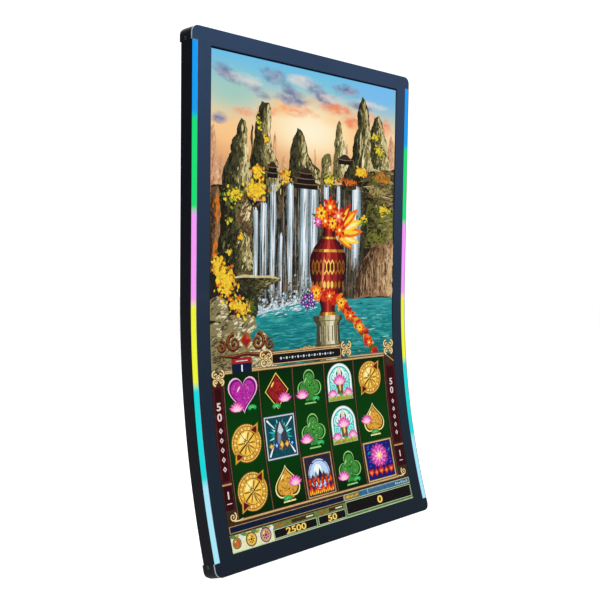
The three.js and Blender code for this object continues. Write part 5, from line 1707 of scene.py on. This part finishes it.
def housing_print():
    """A pictogram above each socket, with a short line that points down to it."""
    marks = []
    for name, half_x in (("digital_video", 6), ("display_link", 7), ("analog_video", 9), ("usb", 4),
                         ("audio", None)):
        face = seat((middle_of(name + "_socket")[0], HOUSING_REAR, -172), BACKWARD)
        pointer = (face, stroke, 0.35, 1.5, 0, -6.5)
        if half_x:
            marks += [(face, frame_mark, half_x, 3, 0.6), pointer, (face, stroke, half_x / 2, 0.35)]
        else:
            marks += [(face, ring_mark, 3, 0.6), pointer]
    printed("socket_marks", "display", *marks)


def blank_label():
    """A plain foil plate with empty fields, where a rating plate would sit."""
    look = Look("foil_label", Metallic=0.4)
    tone = look.ramp(look.noise(30, 4), (0.3, rgb(150, 152, 154)), (0.7, rgb(172, 174, 176)))
    look.into("Base Color", tone)
    look.roughness(0.3, 0.42, 400, 3)
    look.relief(look.noise(500, 3), 0.00003)
    foil = COVER_REAR + 0.15
    bm = bmesh.new()
    plate(bm, [rounded(-195, -105, 414, 466, 3)], COVER_REAR, foil, 0.05)
    bend(bm)
    finish_mesh("blank_label", bm, [look.material])
    bm = bmesh.new()
    for x_low, x_high, s_low, s_high in ((-192, -108, 417, 463), (-188, -112, 447, 458),
                                         (-188, -112, 436, 444), (-188, -152, 421, 433),
                                         (-148, -112, 421, 433)):
        hole = rounded(x_low + 0.5, x_high - 0.5, s_low + 0.5, s_high - 0.5, 1.0)
        plate(bm, [rounded(x_low, x_high, s_low, s_high, 1.5), hole[::-1]], foil, foil + 0.03)
    bend(bm)
    finish_mesh("blank_label_print", bm, [LOOKS["socket"]])


rear_screws()
for node in sorted(nodes):
    if node.startswith("cap_screw"):
        sideways = (1 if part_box(node)[1][0] > 0 else -1, 0, 0)
        swapped_screw(node, sideways, 3.2, 1.8, 8.0, "black_screw")
    elif node.startswith("plate_screw"):
        swapped_screw(node, BACKWARD, 4.0, 2.2, 7.0, "screw")
key_print()
rocker_print()
housing_print()
blank_label()

# ---- Stage, lights and camera ----

FLOOR_HEIGHT, FLOOR_RADIUS = -1.0, 14.0
CAMERA_PLACE = (-1.18805, -1.29768, -0.16676)
CAMERA_YAW, CAMERA_PITCH, CAMERA_ROLL = map(radians, (43.566, 3.19, 0.756))
LENS = 48.52  # mm, on a sensor 36 mm wide


def link(name, data):
    holder = bpy.data.objects.new(name, data)
    bpy.context.scene.collection.objects.link(holder)
    return holder


def stage():
    """A pale round floor."""
    look = Look("studio_floor", Specular_IOR_Level=0.2, Roughness=0.8)
    look.into("Base Color", look.ramp(look.noise(3, 3), (0.3, rgb(240, 240, 240)), (0.7, rgb(245, 245, 245))))
    look.relief(look.noise(120, 3), 0.0002, 0.2)
    bm = bmesh.new()
    bmesh.ops.create_circle(bm, cap_ends=True, segments=96, radius=FLOOR_RADIUS)
    mesh = bpy.data.meshes.new("floor")
    bm.to_mesh(mesh)
    bm.free()
    mesh.materials.append(look.material)
    floor = link("floor", mesh)
    floor.location = (0, 0, FLOOR_HEIGHT)


def world():
    """An even studio surround: white to the camera and as light, dimmer where gloss mirrors it."""
    scene_world = bpy.data.worlds.new("studio")
    bpy.context.scene.world = scene_world
    scene_world.use_nodes = True
    tree = scene_world.node_tree
    plain, gloss = tree.nodes["Background"], tree.nodes.new("ShaderNodeBackground")
    for shader, colour, strength in ((plain, (0.99, 0.995, 1.0, 1.0), 1.2),
                                     (gloss, (0.9, 0.95, 1.0, 1.0), 0.32)):
        shader.inputs["Color"].default_value = colour
        shader.inputs["Strength"].default_value = strength
    path, mix = tree.nodes.new("ShaderNodeLightPath"), tree.nodes.new("ShaderNodeMixShader")
    for index, output in enumerate((path.outputs["Is Glossy Ray"], plain.outputs[0], gloss.outputs[0])):
        tree.links.new(output, mix.inputs[index])
    tree.links.new(mix.outputs[0], tree.nodes["World Output"].inputs["Surface"])


def softbox(name, place, target, size, energy):
    """A rectangular lamp in metres and watts, aimed at the target."""
    lamp = bpy.data.lights.new(name, "AREA")
    lamp.shape = "RECTANGLE"
    lamp.size, lamp.size_y = size
    lamp.energy = energy
    holder = link(name, lamp)
    holder.location = place
    holder.rotation_euler = (Vector(target) - Vector(place)).to_track_quat("-Z", "Y").to_euler()


def camera():
    """The photo's view: from the left, a little above and slightly rolled."""
    yaw, pitch, roll = CAMERA_YAW, CAMERA_PITCH, CAMERA_ROLL
    forward = Vector((sin(yaw) * cos(pitch), cos(yaw) * cos(pitch), -sin(pitch)))
    right = Vector((cos(yaw), -sin(yaw), 0))
    up = right.cross(forward)
    across = right * cos(roll) + up * sin(roll)
    upward = up * cos(roll) - right * sin(roll)
    lens = bpy.data.cameras.new("camera")
    lens.lens = LENS
    lens.sensor_width = 36.0
    lens.clip_start = 0.01
    holder = link("camera", lens)
    axes = Matrix((across, upward, -forward)).transposed().to_4x4()
    holder.matrix_world = Matrix.Translation(CAMERA_PLACE) @ axes
    bpy.context.scene.camera = holder


stage()
world()
softbox("key_light", (-2.2, -1.9, 2.0), (0, 0, -0.2), (1.8, 1.8), 36)
softbox("side_light", (2.6, -0.4, 1.5), (0, 0, -0.2), (1.4, 1.8), 26)
softbox("back_light", (0.4, 2.6, 2.0), (0, 0, -0.2), (1.8, 1.4), 36)
softbox("rim_light", (-3.0, 0.4, 1.7), (0, 0, -0.3), (1.2, 1.6), 10)
camera()
bpy.context.scene.view_settings.view_transform = "Standard"
